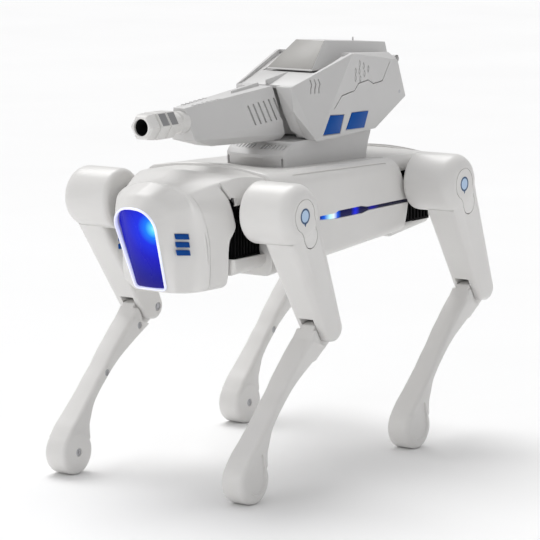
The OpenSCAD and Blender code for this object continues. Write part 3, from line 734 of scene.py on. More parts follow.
def make_trunk():
    upper = trunk_skin("upper_trunk", SPLIT_Z, 260)
    lower = trunk_skin("lower_trunk", 100, SPLIT_Z)
    for shell in (upper, lower):
        recess = [prism_x(light_outline(0.25), 48.7, 60), prism_x(light_outline(0.25), -60, -48.7)]
        carve(shell, recess)
    grooves = []
    for side in (1, -1):
        for x, z in ((43.2, 193.2), (47.0, 190.2)):
            for y0, y1 in ((-46, 62),):
                drop0, drop1 = back_z(y0) - back_z(0), back_z(y1) - back_z(0)
                grooves.append(hull("groove", [(side * (x + dx), y, z + dz + d) for y, d in ((y0, drop0), (y1, drop1))
                                               for dx, dz in ((-0.45, 0.3), (0.3, -0.45), (2.6, 2.9), (3.3, 2.2))]))
    carve(upper, grooves)
    for side in (1, -1):
        carve(lower, [hull("notch", [(side * x, y, z) for x in (47.5, 60)
                                     for y, z in ((37.5, 140.6), (39, 140.2), (32, 134), (37, 134))])])
    for shell in (upper, lower):
        smooth(shell, 38)
    dress(upper, WHITE, "body", "white_shell", "upper_body_shell")
    dress(lower, WHITE, "body", "white_shell", "lower_body_shell")
    make_canopies()


def make_canopies():
    """The white roof over the front hips, the belly bridges, and the same at the rear."""
    profiles = head_profiles()
    count = len(profiles[0])
    ridge = RIDGE_INDEX * SPAN_STEPS
    roof_first = min(i for i in range(count) if profiles[3][i].z > 181.5 and i > count // 2)
    rings = []
    for share in [0, 0.012, 0.03] + [0.1 * i for i in range(1, 10)] + [1.0]:
        half = []
        for i in range(roof_first, count):
            start_y = collar_end(profiles[2][i]) + (0.5 if i < ridge else -0.05)
            point = neck_point(profiles, i, start_y + (-71.6 - start_y) * share)
            if share < 0.02 and i < ridge:
                point = point + Vector((-0.7, 0, -0.5)) * (1 - share * 50)
            half.append(point)
        y, edge = half[0].y, half[0].x
        low, hem = CARRIER_TOP + 0.3, roof_hem(half[0].y)
        skirt = [(0, low), (20, low), (41.9, low), (42.2, low - 1), (42.25, hem), (max(edge + 0.5, 42.9), hem),
                 (max(edge + 0.6, 43.1), hem + 0.5)]
        rings.append(mirrored_ring([Vector((x, y, z)) for x, z in skirt] + half))
    roof = loft("front_roof", rings)
    dress(roof, WHITE, "body", "white_shell")
    bridge("front_belly_bridge", -103.4, -66, 6, CARRIER_BOTTOM - 0.3, (43.8, 45))
    bridge("rear_belly_bridge", 76, 130, -3.5, CARRIER_BOTTOM - 0.3, (45, 40))
    rear_roof()


def roof_hem(y):
    """Height of the roof's lower edge outside a hip carrier."""
    return min(180.9, 178.2 + max(0.0, y + 100) * 0.12)


def bridge(name, y0, y1, lift, top, widths):
    """A low white bridge under a hip carrier, its underside parallel to the belly."""
    rings = []
    corner = 5.0
    for share, inset in ((0, 1.0), (0.015, 0.25), (0.04, 0), (0.3, 0), (0.6, 0), (0.96, 0), (0.985, 0.25), (1, 1.0)):
        y = y0 + (y1 - y0) * share
        half_w = widths[0] + (widths[1] - widths[0]) * share - inset
        low = belly_z(y) + lift + inset
        points = [(0, low), (half_w * 0.5, low)] + circle(corner, (half_w - corner, low + corner), 9, -90, 90)
        points += [(half_w, max(top - 0.6, low + corner + 0.2)), (half_w - 0.6, top + 1.2), (half_w * 0.5, top + 1.2),
                   (0, top + 1.2)]
        rings.append(mirrored_ring([Vector((x, y, z)) for x, z in points]))
    made = loft(name, rings)
    dress(made, WHITE, "body", "white_shell")


def rear_roof():
    """The roof over the rear hips and the wall behind them."""
    rings = []
    for share in (0, 0.2, 0.4, 0.6, 0.8, 0.97, 1.0):
        y = 72 + (130 - 72) * share
        end = max(0.0, (share - 0.8) / 0.2)
        half_w = 44.6 - 1.2 * share - 3 * end * end
        inset = 0.7 if share == 1.0 else 0
        z1 = back_z(y) - inset
        low = CARRIER_TOP + 0.3
        points = [(0, low), (20, low), (41.0 - 2.6 * end, low), (42.2 - 3 * end, low - 0.6), (42.25 - 3 * end, 180.9),
                  (half_w - 0.6, 180.9), (half_w - 0.2, 181.6), (half_w - 0.6, 185), (half_w - 1.8, 188.2)]
        points += circle(3, (half_w - 6.4 - inset, z1 - 3), 5, 36, 48)
        side = half_w - 8
        points += [(side * t, z1 + (-2.5 + 3.5 * share) * (1 - t * t)) for t in (0.75, 0.5, 0.25, 0.0)]
        rings.append(mirrored_ring([Vector((x, y, z)) for x, z in points]))
    dress(loft("rear_roof", rings), WHITE, "body", "white_shell")
    rings = []
    for y in (127.3, 130):
        points = trunk_half_profile(40, belly_z(130) - 3.5 + 1, back_z(130) - 0.6, 7, 9, 2.2)
        rings.append(mirrored_ring([Vector((x, y, z)) for x, z in points]))
    dress(loft("rear_wall", rings), WHITE, "body", "white_shell")
    low, high = node_box("tail_cap")
    rings = []
    for share, drop in ((0.0, 0.0), (0.3, 1.6), (0.6, 3.6), (0.85, 6.0), (0.97, 8.0), (1.0, 9.4)):
        y = low.y + (high.y - low.y) * share
        points = trunk_half_profile(40 - drop * 0.85, belly_z(130) - 3.5 + drop, back_z(130) - drop, 7, 9,
                                    2.4 * (1 - share))
        rings.append(mirrored_ring([Vector((x, y, z)) for x, z in points]))
    cap = loft("tail_cap_skin", rings)
    carve(cap, [lathe("hole", [(0.001, 0), (4.6, 0), (4.6, 12), (0.001, 12)], (0, 133, 160), (0, 1, 0))])
    smooth(cap, 38)
    dress(cap, WHITE, "body", "white_shell", "tail_cap")


def make_side_lights():
    for side, name in ((1, "left"), (-1, "right")):
        strip = prism_x(light_outline(-0.05), side * 48.8, side * 49.85)
        bevel(strip, 0.25, 2)
        dress(strip, strip_glow("strip_glow_" + name), "body", "light_strip", "side_light_" + name)


def make_saddle():
    """The low seat under the turret's foot, hidden inside it."""
    high = node_box("upper_body_shell")[1].z
    outline = circle(8, (-13, -6), 9, 180, 90) + circle(8, (13, -6), 9, 270, 90) + [(21, 72), (-21, 72)]
    seat = loft("turret_saddle", [[Vector((x, y, z)) for x, y in outline] for z in (186, high)])
    dress(seat, WHITE, "body", "white_shell")


def make_carriers():
    """Black ribbed hip carriers: a box with upright ribs, a toothed top edge and a bearing each side."""
    for name, hip_y in (("hip_carrier_front", HIP_FRONT_Y), ("hip_carrier_rear", HIP_REAR_Y)):
        low, high = node_box(name)
        half = 42.0
        core = [block((-half + 1.4, low.y + 0.5, low.z + 0.3), (half - 1.4, high.y - 0.5, high.z - 0.4))]
        ribs = []
        count = 9
        pitch = (high.y - low.y - 2) / count
        for side in (1, -1):
            for i in range(count):
                y = low.y + 1 + pitch * i
                x0, x1 = sorted((side * (half - 1.6), side * half))
                ribs.append(block((x0, y + 0.25 * pitch, low.z + 2), (x1, y + 0.75 * pitch, high.z - 17)))
                ribs.append(block((x0, y + 0.1 * pitch, high.z - 2.2), (x1, y + 0.6 * pitch, high.z - 0.2)))
            x0, x1 = sorted((side * (half - 1.6), side * (half - 0.2)))
            ribs.append(block((x0, low.y + 0.8, high.z - 15.5), (x1, high.y - 0.8, high.z - 13.5)))
            ribs.append(block((x0, low.y + 0.8, low.z + 0.4), (x1, high.y - 0.8, low.z + 2.2)))
            for i in range(int((high.y - low.y - 4) / 2.6)):
                y = low.y + 2.4 + 2.6 * i
                x0, x1 = sorted((side * (half - 1.0), side * (half + 1.2)))
                hem = roof_hem(y)
                ribs.append(block((x0, y, hem - 2.6), (x1, y + 1.4, hem - 0.3)))
        bosses = []
        for side in (1, -1):
            outline = [(4.1, 0), (5.9, 0), (5.9, 7.4), (5.4, 8.2), (4.1, 8.4)]
            bosses.append(lathe("boss", outline, (side * (half - 0.2), hip_y, HIP_Z), (side, 0, 0)))
        made = join(name + "_skin", core + ribs + bosses)
        bevel(made, 0.25, 2)
        dress(made, BLACK, "body", "black_plastic", name)


# ---------- turret ----------

def make_plates():
    """The faceted side plates, with recessed windows, engraved lines and vents."""
    outer = [(28, 106.6, 253.4), (28, 117, 228.1), (28.4, 78.8, 209.4), (30.4, 6.5, 207.2), (30.6, 47.5, 261.6)]
    front = [(22, -10.4, 243.4), (23, -10.4, 227.6)]
    inner = [(21.3, -11.2, 243.2), (21.3, -9.9, 228), (21.3, 5.4, 208.4), (21.3, 78, 209), (21.3, 117, 228),
             (21.3, 105.4, 258.4), (21.3, 46, 261.8)]
    plate = hull("turret_plate_left_skin", outer + front + inner, 12)
    bevel(plate, 0.35, 2, 8)
    cutters = [prism_x(grow(window, 0.5), 29.0, 40) for window in WINDOWS]
    cutters.append(hull("channel", [(20, -6, 243.2), (21, -6, 243.2), (20, 49, 259.2), (28.6, 49, 259.2), (20, -6, 250),
                                    (21, -6, 250), (20, 49, 270), (28.6, 49, 270)]))
    cutters += plate_lines()
    carve(plate, cutters)
    smooth(plate, 20)
    other = copy_of(plate, "turret_plate_right_skin", mirrored=True)
    dress(plate, TURRET, "body", "turret_shell", "turret_plate_left")
    dress(other, TURRET, "body", "turret_shell", "turret_plate_right")
    panes = [prism_x(window, side * 28.8, side * 29.8) for side in (1, -1) for window in WINDOWS]
    panes = join("turret_panes", panes)
    bevel(panes, 0.3, 2)
    dress(panes, BLUE, "body", "blue_trim", "turret_windows")
    for side, name in ((1, "left"), (-1, "right")):
        points = [(10.6, -12.4, 243.2), (21.5, -11.2, 243.3), (14.3, -8.8, 226), (22.3, -10.2, 227.6), (15.3, -2, 214),
                  (21.4, 5.4, 208.6), (21, 0, 243.6), (15.4, 4, 214), (10.8, -6.4, 243.6)]
        cheek = hull("turret_cheek_" + name, [(side * x, y, z) for x, y, z in points], 12)
        bevel(cheek, 0.3, 2, 8)
        dress(cheek, TURRET, "body", "turret_shell")


WINDOWS = [[(13.6, 210.6), (33.8, 210.2), (38.7, 221.8), (22.2, 222.8)],
           [(41.4, 211.8), (63.3, 211.2), (68.4, 222.0), (48.6, 222.4)]]


def grow(outline, margin):
    """An outline moved outwards from its middle by about margin."""
    cy = sum(p[0] for p in outline) / len(outline)
    cz = sum(p[1] for p in outline) / len(outline)
    made = []
    for y, z in outline:
        made.append((y + margin * (1 if y > cy else -1) * 1.2, z + margin * (1 if z > cz else -1)))
    return made


def stroke(path, width, x0, x1):
    """A groove cutter that follows a path in (y, z)."""
    cutters = []
    for (y0, z0), (y1, z1) in zip(path, path[1:]):
        along = Vector((y1 - y0, z1 - z0))
        side = Vector((-along.y, along.x)).normalized() * width / 2
        along = along.normalized() * width / 2
        corners = [(y0 - along.x + side.x, z0 - along.y + side.y), (y0 - along.x - side.x, z0 - along.y - side.y),
                   (y1 + along.x - side.x, z1 + along.y - side.y), (y1 + along.x + side.x, z1 + along.y + side.y)]
        cutters.append(prism_x(corners, x0, x1))
    return cutters


PANEL_LINE = [(26.9, 227), (35.5, 234.7), (50.9, 236.8), (55.4, 241.1), (67.7, 242.7), (74.5, 239.7),
              (85.9, 240.7), (96, 252.7)]


def plate_lines():
    """Engraved panel line, leaf-shaped vents and wavy slots on a side plate."""
    cutters = stroke(PANEL_LINE, 0.65, 27.7, 40)
    for y, z in ((51.5, 249.4), (51.8, 244.8), (56.6, 254.2), (56.2, 249.2), (57.6, 244), (61.4, 252.4), (62.6, 247.2),
                 (67.4, 250)):
        leaf = [(y, z + 2.7), (y + 1.3, z + 0.9), (y + 1.3, z - 0.9), (y, z - 2.7), (y - 0.9, z - 0.9), (y - 0.9, z + 0.9)]
        inside = [(a * 0.52 + y * 0.48, b * 0.66 + z * 0.34) for a, b in leaf]
        cutters.append(carve(prism_x(leaf, 28.2, 40), [prism_x(inside, 27, 41)]))
    for i in range(3):
        y = 6.5 + 3.7 * i
        cutters += stroke([(y - 0.2, 246.7), (y + 0.9, 243.6), (y - 0.5, 241), (y - 0.9, 238.3)], 0.9, 23.6 + 0.7 * i, 40)
    return cutters


def make_shroud():
    """The barrel cover: a tapering wedge with slanted vents, a row of teeth and a central crest."""
    corners = [(4.5, -102, 236.4), (9.1, -97, 215.8), (6, -76, 210.4), (7.2, -46, 240.9), (9.5, -14.5, 243.9),
               (13.6, -8.6, 221), (12.6, -4.6, 212), (9, -4.6, 208.0)]
    cover = hull("barrel_shroud_skin", [(s * x, y, z) for x, y, z in corners for s in (1, -1)], 12)
    bevel(cover, 0.4, 2, 8)
    core = hull("core", [(s * x, y, z) for x, y, z in
                         [(2.6, -90, 236), (6.6, -90, 217), (8, -20, 241.5), (12, -14, 213)] for s in (1, -1)])
    cutters = []
    for i in range(6):
        y = -42.6 + 5.6 * i
        for side in (1, -1):
            vent = hull("vent", [(side * x, y + dy + 0.42 * (233.6 - z), z) for x in (7, 30) for dy in (0, 1.7)
                                 for z in (220.5 + 0.4 * i, 233.4 + 0.6 * i)])
            cutters.append(carve(vent, [copy_of(core, "core_copy")]))
    bpy.data.objects.remove(core)
    carve(cover, cutters)
    teeth = []
    for i in range(6):
        y = -93 + 4.7 * i
        x, z = 4.5 + 2.7 * (y + 102) / 56, 236.4 + 4.5 * (y + 102) / 56
        for side in (1, -1):
            x0, x1 = sorted((side * (x - 1.9), side * (x + 0.35)))
            teeth.append(block((x0, y, z - 1.2), (x1, y + 2.6, z + 0.55)))
    crest = hull("crest", [(s * x, y, z) for s in (1, -1) for x, y, z in
                           [(1.6, -45.6, 239), (0.25, -46.4, 242.6), (1.6, -16.4, 241), (0.25, -17.2, 245.8)]], 12)
    cover = join("barrel_shroud_skin", [cover, crest] + teeth)
    smooth(cover, 20)
    dress(cover, TURRET, "barrel", "turret_shell", "barrel_shroud")


def make_turret_core():
    """The block between the side plates: barrel well, dart hopper and the lid's hinge ears."""
    outline = [(-6.5, 243.6), (-6.5, 226.5), (5, 209.2), (79, 209.4), (115, 228), (105.4, 250), (17.4, 250.2)]
    core = prism_x(outline, -21.2, 21.2)
    carve(core, [block((-15.2, -20, 200), (15.2, 17, 241.6)), block((-14.4, 24, 238), (14.4, 106, 262)),
                 rod_x(4, -19, 19, 6, 226)])
    ears = []
    for side in (1, -1):
        x0, x1 = sorted((side * 14.9, side * 17.6))
        ear = prism_x([(100, 246), (100, 250.6), (118, 254.4)] + circle(2.9, (122, 252.5), 9, 60, -150)
                      + [(112, 240)], x0, x1)
        ears.append(carve(ear, [rod_x(2.3, -30, 30, 122, 252.5)]))
    rib = hull("rib", [(s * x, y, z) for s in (1, -1) for x, y, z in
                       [(1.6, -6.4, 243), (0.25, -8.4, 246.9), (1.6, 17.2, 246), (0.25, 17.2, 250.4)]], 12)
    made = join("turret_core_skin", [core, rib] + ears)
    bevel(made, 0.25, 2, 25)
    dress(made, TURRET, "body", "turret_shell", "turret_core")


def make_barrel():
    axis_z = 227.5
    tube = lathe("barrel_tube_skin", [(4.0, -126), (5.3, -126), (5.3, -112), (6.4, -111.4), (6.4, -106), (7.2, -105.4),
                                      (7.2, -99), (5.5, -98), (5.5, -14), (4.0, -14)], (0, 0, axis_z), (0, 1, 0))
    dress(tube, WHITE, "barrel", "white_shell", "barrel_tube")
    muzzle_low = node_box("muzzle_tip")[0].y
    rings = []
    for y, radius in ((muzzle_low, 7.4), (muzzle_low + 1.4, 8.6), (-133.6, 9.3), (-133, 9.1), (-132.6, 8.2), (-131.8, 8.2),
                      (-131.4, 9.3), (-131, 9.5), (-122.6, 9.5), (-122.5, 8.8), (-121.7, 8.8), (-121.6, 9.5),
                      (-113.6, 9.4), (-113, 8.8), (-113, 5)):
        rings.append([Vector((radius * math.cos(a), y, axis_z + radius * math.sin(a)))
                      for a in [math.radians(60 * i) for i in range(6)]])
    collar = loft("muzzle_hex", rings, 20)
    carve(collar, [lathe("hole", [(0.001, -145), (5.35, -145), (5.35, -110), (0.001, -110)], (0, 0, axis_z), (0, 1, 0))])
    lip = lathe("lip", [(5.3, muzzle_low + 4), (5.3, muzzle_low + 0.1), (5.7, muzzle_low - 0.02), (6.6, muzzle_low + 0.1),
                        (6.9, muzzle_low + 0.6), (6.9, muzzle_low + 4)], (0, 0, axis_z), (0, 1, 0))
    collar = join("muzzle_tip_skin", [collar, lip])
    smooth(collar, 30)
    dress(collar, WHITE, "barrel", "white_shell", "muzzle_tip")
    panels = []
    for start in (0, 120):
        a, b = [Vector((9.58 * math.cos(math.radians(start + d)), 0, 9.58 * math.sin(math.radians(start + d))))
                for d in (0, 60)]
        for y0, y1 in ((-130, -123.2), (-121, -114.4)):
            corners = [a.lerp(b, t) * r + Vector((0, y, axis_z)) for t in (0.07, 0.93) for r in (0.94, 1.0)
                       for y in (y0, y1)]
            panels.append(hull("panel", corners))
    dress(join("muzzle_panels", panels), MUZZLE_GREY, "barrel", "turret_shell")
    # A near-black sleeve in the muzzle and a disc deeper in the bore are painted shadow, standing in for the shade
    # inside the barrel.
    shade_sleeve = lathe("bore_shadow_sleeve", [(3.9, -125), (5.3, -125), (5.3, -139), (5.2, -139), (5.2, -124.6), (3.9, -124.6)],
                  (0, 0, axis_z), (0, 1, 0))
    dress(shade_sleeve, BORE_PAINTED_SHADOW, "barrel", "white_shell")
    shade_disc = lathe("bore_shadow_disc", [(0.001, -123.5), (4.1, -123.5), (4.1, -123), (0.001, -123)], (0, 0, axis_z), (0, 1, 0))
    dress(shade_disc, BORE_PAINTED_SHADOW, "barrel", "white_shell")


def make_lid():
    """The faceted hood, which is the hopper's lid, with a front panel whose darker colour is painted shade."""
    points = [(s * x, y, z) for s in (1, -1) for x, y, z in
              [(17.9, 18.1, 251.25), (11.2, 43, 269.6), (11.2, 116.8, 264.2), (11.2, 119.4, 255.4),
               (17.9, 111.8, 251.25), (17.9, 18.3, 252)]]
    hood = hull("hood", points, 12)
    inside = hull("inside", [(s * x, y, z) for s in (1, -1) for x, y, z in
                             [(15.4, 22, 250), (15.4, 108, 250), (9, 44, 266.8), (9, 108, 262.4)]])
    bevel(hood, 0.35, 2, 8)
    carve(hood, [inside])
    pin = lathe("pin", [(0.001, -14.5), (2.1, -14.5), (2.1, 14.5), (0.001, 14.5)], (0, 122, 252.5), (1, 0, 0))
    knuckle = block((-10, 118, 253.2), (10, 122.4, 256.4))
    nub = lathe("nub", [(0.001, 0), (0.6, 0), (0.45, 2.6), (0.001, 3.0)], (0, 94, 265.7), (0, 0, 1))
    made = join("hopper_lid_skin", [hood, pin, knuckle, nub])
    smooth(made, 20)
    dress(made, TURRET, "lid", "turret_shell", "hopper_lid")
    # A thin panel on the hood's front in the darker grey: painted shade.
    front = [Vector((17.5, 18.9, 252.43)), Vector((11.2, 42.6, 269.3))]
    out = Vector((0, -0.58, 0.814))
    corners = [(s * p.x, p.y + out.y * d, p.z + out.z * d) for p in front for s in (1, -1) for d in (-0.6, 0.1)]
    panel = hull("hood_shade_panel_skin", corners, 12)
    bevel(panel, 0.1, 2, 8)
    dress(panel, HOOD_PAINTED_SHADE, "lid", "turret_shell")


def make_pedestal():
    """The turret's foot: a bowed prow, ticks under the plates and a rear end that leans back."""
    top = node_box("turret_pedestal")[1].z
    rings = []
    for z, prow_y, corner_y, rear_y in ((188, -15, -19.2, 75), (192, -16.8, -19.6, 75.4), (195, -21, -20, 76),
                                        (198, -24.8, -20, 76.8), (200, -25, -20, 77.4), (202.2, -21.6, -18.4, 78.2),
                                        (204.6, -16, -14.6, 79.4), (206.6, -11.4, -11, 80.4), (top, -10.8, -10.6, 80.6)):
        side = []
        for i in range(7):
            t = i / 7
            side.append((22.2 * t, prow_y + (corner_y - prow_y) * t ** 1.4))
        side += [(22.2, corner_y), (23, corner_y + 0.5), (23.4, corner_y + 1.4), (23.4, 40), (23.4, rear_y)]
        ring = [Vector((x, y, z)) for x, y in side] + [Vector((-x, y, z)) for x, y in reversed(side[1:])]
        rings.append(ring)
    foot = loft("turret_pedestal_skin", rings)
    cutters = []
    for side in (1, -1):
        for i in range(7):
            x0, x1 = sorted((side * (3 + 2.7 * i), side * (4.1 + 2.7 * i)))
            cutters.append(hull("tick", [(x, y + d, z) for x in (x0, x1) for y, z in ((-17.4, 203.2), (-12.6, 205.6))
                                         for d in (0.6, -8)]))
        x0, x1 = sorted((side * 20.4, side * 22.0))
        cutters.append(hull("slot", [(x, y, z) for y in (-30, -18.4) for x, z in
                                     ((x0, 189), (x1, 189), (x0, 197.4), (x1, 197.4), ((x0 + x1) / 2, 198.4))]))
    carve(foot, cutters)
    smooth(foot, 38)
    dress(foot, TURRET, "body", "turret_shell", "turret_pedestal")


def make_turret_screws():
    """Small dished screws in the plates."""
    screws = []
    for side in (1, -1):
        for y, z in ((49.2, 258.3), (108.6, 231.8)):
            outline = [(0.001, 0), (1.2, 0), (1.5, -0.3), (1.5, -2), (0.001, -2)]
            screws.append(lathe("screw", outline, (side * (30.1 - 0.028 * (y - 47.5)), y, z), (side, 0, 0), 24))
    made = join("plate_screws", screws)
    smooth(made, 40)
    dress(made, STEEL, "body", "screw_steel", "turret_screws")


# ---------- legs ----------

THIGH_IN_X = node_box("front_left_thigh_inner")[0].x
DRUM_OUT_X = 88.6


def puck(radius, y, z, x0, x1, rim, inner_rim, count=72, steps=7):
    """Points on a round disc about an X axis, with a rounded outer and inner rim."""
    points = []
    for i in range(steps + 1):
        a = math.pi / 2 * i / steps
        for r, x in ((radius - rim + rim * math.cos(a), x1 - rim + rim * math.sin(a)),
                     (radius - inner_rim + inner_rim * math.cos(a), x0 + inner_rim - inner_rim * math.sin(a))):
            points += [(x, py, pz) for py, pz in circle(r, (y, z), count)]
    return points


def thigh_points(inset):
    """Point cloud of the arm from the hip to the knee, about the hip axis."""
    knee_y, knee_z = KNEE.y, KNEE.z
    x0, x1 = THIGH_IN_X + inset, 87.6 - inset
    points = puck(17.6 - inset, 1.4, 0.1, x0, x1, 8, 5)
    points += puck(8.5 - inset, knee_y - 2.4, knee_z + 0.3, x0, 81.5 - inset, 5, 2.6)
    points += puck(4.5 - inset, knee_y - 9.5, knee_z - 2.2, x0, 81.5 - inset, 3, 2)
    return points


def drum_points(inset):
    return puck(19.5 - inset, 0.2, 0, 51.2 + inset, DRUM_OUT_X - inset, 9, 4, 96, 9)


KEYHOLE_LOBE = (9.2, -14.2)


def keyhole(margin):
    """Outline of the hip badge: a circle at the hip with a smaller lobe below it."""
    big = 10.4 + margin
    small = 7.0 + margin
    direction = math.degrees(math.atan2(KEYHOLE_LOBE[1], KEYHOLE_LOBE[0]))
    outline = circle(big, (0, 0), 33, direction + 52, 256)
    lobe = circle(small, KEYHOLE_LOBE, 25, direction - 96, 192)
    return outline + lobe


def make_thigh():
    """One left thigh about the hip axis: drum and arm, with seam, keyhole, slot and pin holes."""
    arm = hull("arm", thigh_points(0))
    drum = hull("drum", drum_points(0))
    inner_arm = hull("inner_arm", thigh_points(0.5))
    inner_drum = hull("inner_drum", drum_points(0.55))
    seam = block((50, -30, -18.0), (84, 6, -17.4))
    carve(seam, [inner_arm])
    carve(arm, [seam])
    line_out, line_in = prism_x(keyhole(0.28), 80, 95), prism_x(keyhole(-0.28), 79, 96)
    carve(line_out, [line_in])
    carve(line_out, [inner_drum])
    carve(arm, [drum], "UNION")
    carve(arm, [line_out])
    knee_y, knee_z = KNEE.y, KNEE.z
    slot = prism_x([(knee_y - 2, knee_z + 6.5), (knee_y - 25, knee_z + 8.8), (knee_y - 40, knee_z - 12),
                    (knee_y - 20, knee_z - 24), (knee_y + 6.4, knee_z - 24), (knee_y + 6.4, knee_z)], 65.8, 76.2)
    carve(arm, [slot, rod_x(2.9, 50, 63.4, knee_y, knee_z), rod_x(2.2, 45, 64.5, 3.6, 6.4),
                rod_x(4.2, 45, 64.5, 0, 0)])
    smooth(arm, 32)
    return arm


def make_ring_print():
    """The badge's dark ring with a short tail, and its pale disc, just proud of the drum."""
    face = DRUM_OUT_X - 0.02
    ring = lathe("ring", [(3.75, face - 0.4), (4.9, face - 0.4), (4.9, face + 0.12), (3.75, face + 0.12)],
                 (0, 0, 0), (1, 0, 0))
    tail = prism_x([(-1.0, -4.7), (0.2, -6.6), (1.2, -4.7)], face - 0.4, face + 0.12)
    ring = join("badge_ring", [ring, tail])
    smooth(ring, 40)
    disc = lathe("badge_disc", [(0.001, face - 0.4), (3.75, face - 0.4), (3.75, face + 0.06), (0.001, face + 0.1)],
                 (0, 0, 0), (1, 0, 0))
    return ring, disc


def make_knee_pin():
    knee_y, knee_z = KNEE.y, KNEE.z
    outline = [(0.001, 62.5), (1.2, 62.5), (1.2, 62.9), (2.2, 62.9), (2.6, 62.6), (2.7, 63.3), (2.4, 63.5), (2.4, 79),
               (0.001, 79)]
    return lathe("knee_pin", outline, (0, knee_y, knee_z), (1, 0, 0), 32)


SHANK_FRONT = [(23, -81.5), (14.5, -88.5), (7.5, -95), (0, -102), (-7, -110), (-14, -116.5), (-20.3, -123.5),
               (-27.5, -130.5), (-34.7, -137.5), (-41.5, -143.5), (-47, -150)]
SHANK_REAR = [(40.7, -88.5), (29.4, -94.5), (19, -100.5), (9.4, -106.5), (1, -113), (-6, -119.5), (-12, -125.2),
              (-17.4, -131.5), (-20.6, -138.5), (-22.9, -144.5), (-22.6, -152.5)]
FOOT_Y = -36.4
FOOT_R = 14.6
FOOT_Z = 14.5 - HIP_Z
# Screws on the shank's inner side: y, z, head radius and the height of the surface round it.
SHANK_SCREWS = ((29.4, -87.5, 2.1, 61.9), (-4.4, -113.6, 2.2, 62.3), (FOOT_Y, FOOT_Z, 2.4, 60.8))


def shank_sections():
    """Stations down the shank: (front point, rear point, inner x, outer x, corner radius)."""
    front = spline([Vector((y, z, 0)) for y, z in SHANK_FRONT], 3)
    rear = spline([Vector((y, z, 0)) for y, z in SHANK_REAR], 3)
    count = len(front)
    stations = []
    for i, (f, r) in enumerate(zip(front, rear)):
        t = i / (count - 1)
        stations.append((f, r, shank_in(t), shank_out(t), 2.8))
    stations.append((Vector((-46, -158, 0)), Vector((-26, -160, 0)), 61.4, 77.6, 2.8))
    return stations


def shank_in(t):
    return 61.8 + 0.5 * math.sin(math.pi * min(t / 0.85, 1.0)) - 0.8 * max(0.0, (t - 0.6) / 0.4) ** 2


def shank_out(t):
    return 78.2 - 1.0 * math.sin(math.pi * min(t / 0.85, 1.0)) - 0.2 * max(0.0, (t - 0.6) / 0.4) ** 2


def rounded_section(f, r, x0, x1, radius, steps=4):
    """A rounded rectangle whose long sides run from the front edge f to the rear edge r."""
    along = (r - f)
    length = along.length
    along = along / length
    radius = min(radius, length * 0.45, (x1 - x0) * 0.45)
    ring = []
    for cx, cl, start in ((x1 - radius, radius, 180), (x1 - radius, length - radius, 90),
                          (x0 + radius, length - radius, 0), (x0 + radius, radius, 270)):
        for i in range(steps + 1):
            a = math.radians(start - 90 * i / steps)
            p = f + along * (cl + math.cos(a) * radius)
            ring.append(Vector((cx + math.sin(a) * radius, p.x, p.y)))
    return ring


def make_shank():
    """One left shank about the hip axis: a bowed blade with a round foot, tongue and recesses."""
    blade = loft("blade", [rounded_section(*station) for station in shank_sections()])
    knee_y, knee_z = KNEE.y, KNEE.z
    points = [(x, y, z) for x in (66.4, 75.6) for y, z in circle(5.9, (knee_y, knee_z), 40)
              + circle(7.2, (28.5, -89.2), 40) + [(29.2, -73.4), (33, -72.4), (25.5, -80.5), (17, -92)]]
    tongue = hull("tongue", points)
    bevel(tongue, 0.5, 2, 40)
    shoulder = hull("shoulder", [(x, y, z) for x in (63, 77.4) for y, z in
                                 ((22.6, -82), (27.8, -76), (29.6, -76), (33.2, -81.6), (34, -88), (20, -88))])
    bevel(shoulder, 1.6, 3, 30)
    foot = hull("foot", [p for p in puck(FOOT_R, FOOT_Y, FOOT_Z, 60.8, 78.2, 3.6, 3.2) if p[2] > 0.02 - HIP_Z - 5])
    cut_below(foot, -HIP_Z + 0.02)
    carve(blade, [foot, tongue, shoulder], "UNION")
    cutters = []
    for y, z, head, face in SHANK_SCREWS:
        outline = [(0.001, -4), (head + 0.4, -4), (head + 0.4, 0.1), (head + 0.12, 0.4), (head + 0.12, 2.4), (0.001, 2.4)]
        cutters.append(lathe("dish", outline, (face, y, z), (1, 0, 0), 32))
    cutters.append(foot_recess())
    carve(blade, cutters)
    smooth(blade, 34)
    return blade


def foot_recess():
    """The shallow drop-shaped recess on the outside of the foot."""
    points = []
    for x, grow_by in ((77.0, -0.9), (78.3, 0.3)):
        for y, z in circle(9.0 + grow_by, (FOOT_Y + 0.8, FOOT_Z), 40):
            points.append((x, y, z))
        for y, z in circle(1.6 + grow_by * 0.5, (FOOT_Y + 5.6, FOOT_Z + 14.5), 16):
            points.append((x, y, z))
    return hull("recess", points)


def cut_below(obj, height):
    """Trims a shape flat at a height (mm)."""
    bm = bmesh.new()
    bm.from_mesh(obj.data)
    cut = bmesh.ops.bisect_plane(bm, geom=bm.verts[:] + bm.edges[:] + bm.faces[:], plane_co=(0, 0, height * MM),
                                 plane_no=(0, 0, -1), clear_outer=True)
    rim = [e for e in cut["geom_cut"] if isinstance(e, bmesh.types.BMEdge)]
    if rim:
        bmesh.ops.edgeloop_fill(bm, edges=rim)
    bm.to_mesh(obj.data)
    bm.free()


def make_shank_screws():
    """Flush cross-head screws on the inner side of the shank."""
    screws = []
    for y, z, radius, face in SHANK_SCREWS:
        outline = [(0.001, face + 0.45), (radius * 0.85, face + 0.45), (radius, face + 0.6), (radius, face + 2.6),
                   (0.001, face + 2.6)]
        head = lathe("screw", outline, (0, y, z), (1, 0, 0), 24)
        cross = [block((60, y - radius * 0.6, z - 0.22), (face + 0.9, y + radius * 0.6, z + 0.22)),
                 block((60, y - 0.22, z - radius * 0.6), (face + 0.9, y + 0.22, z + radius * 0.6))]
        screws.append(carve(head, cross))
    made = join("shank_screws", screws)
    smooth(made, 40)
    return made


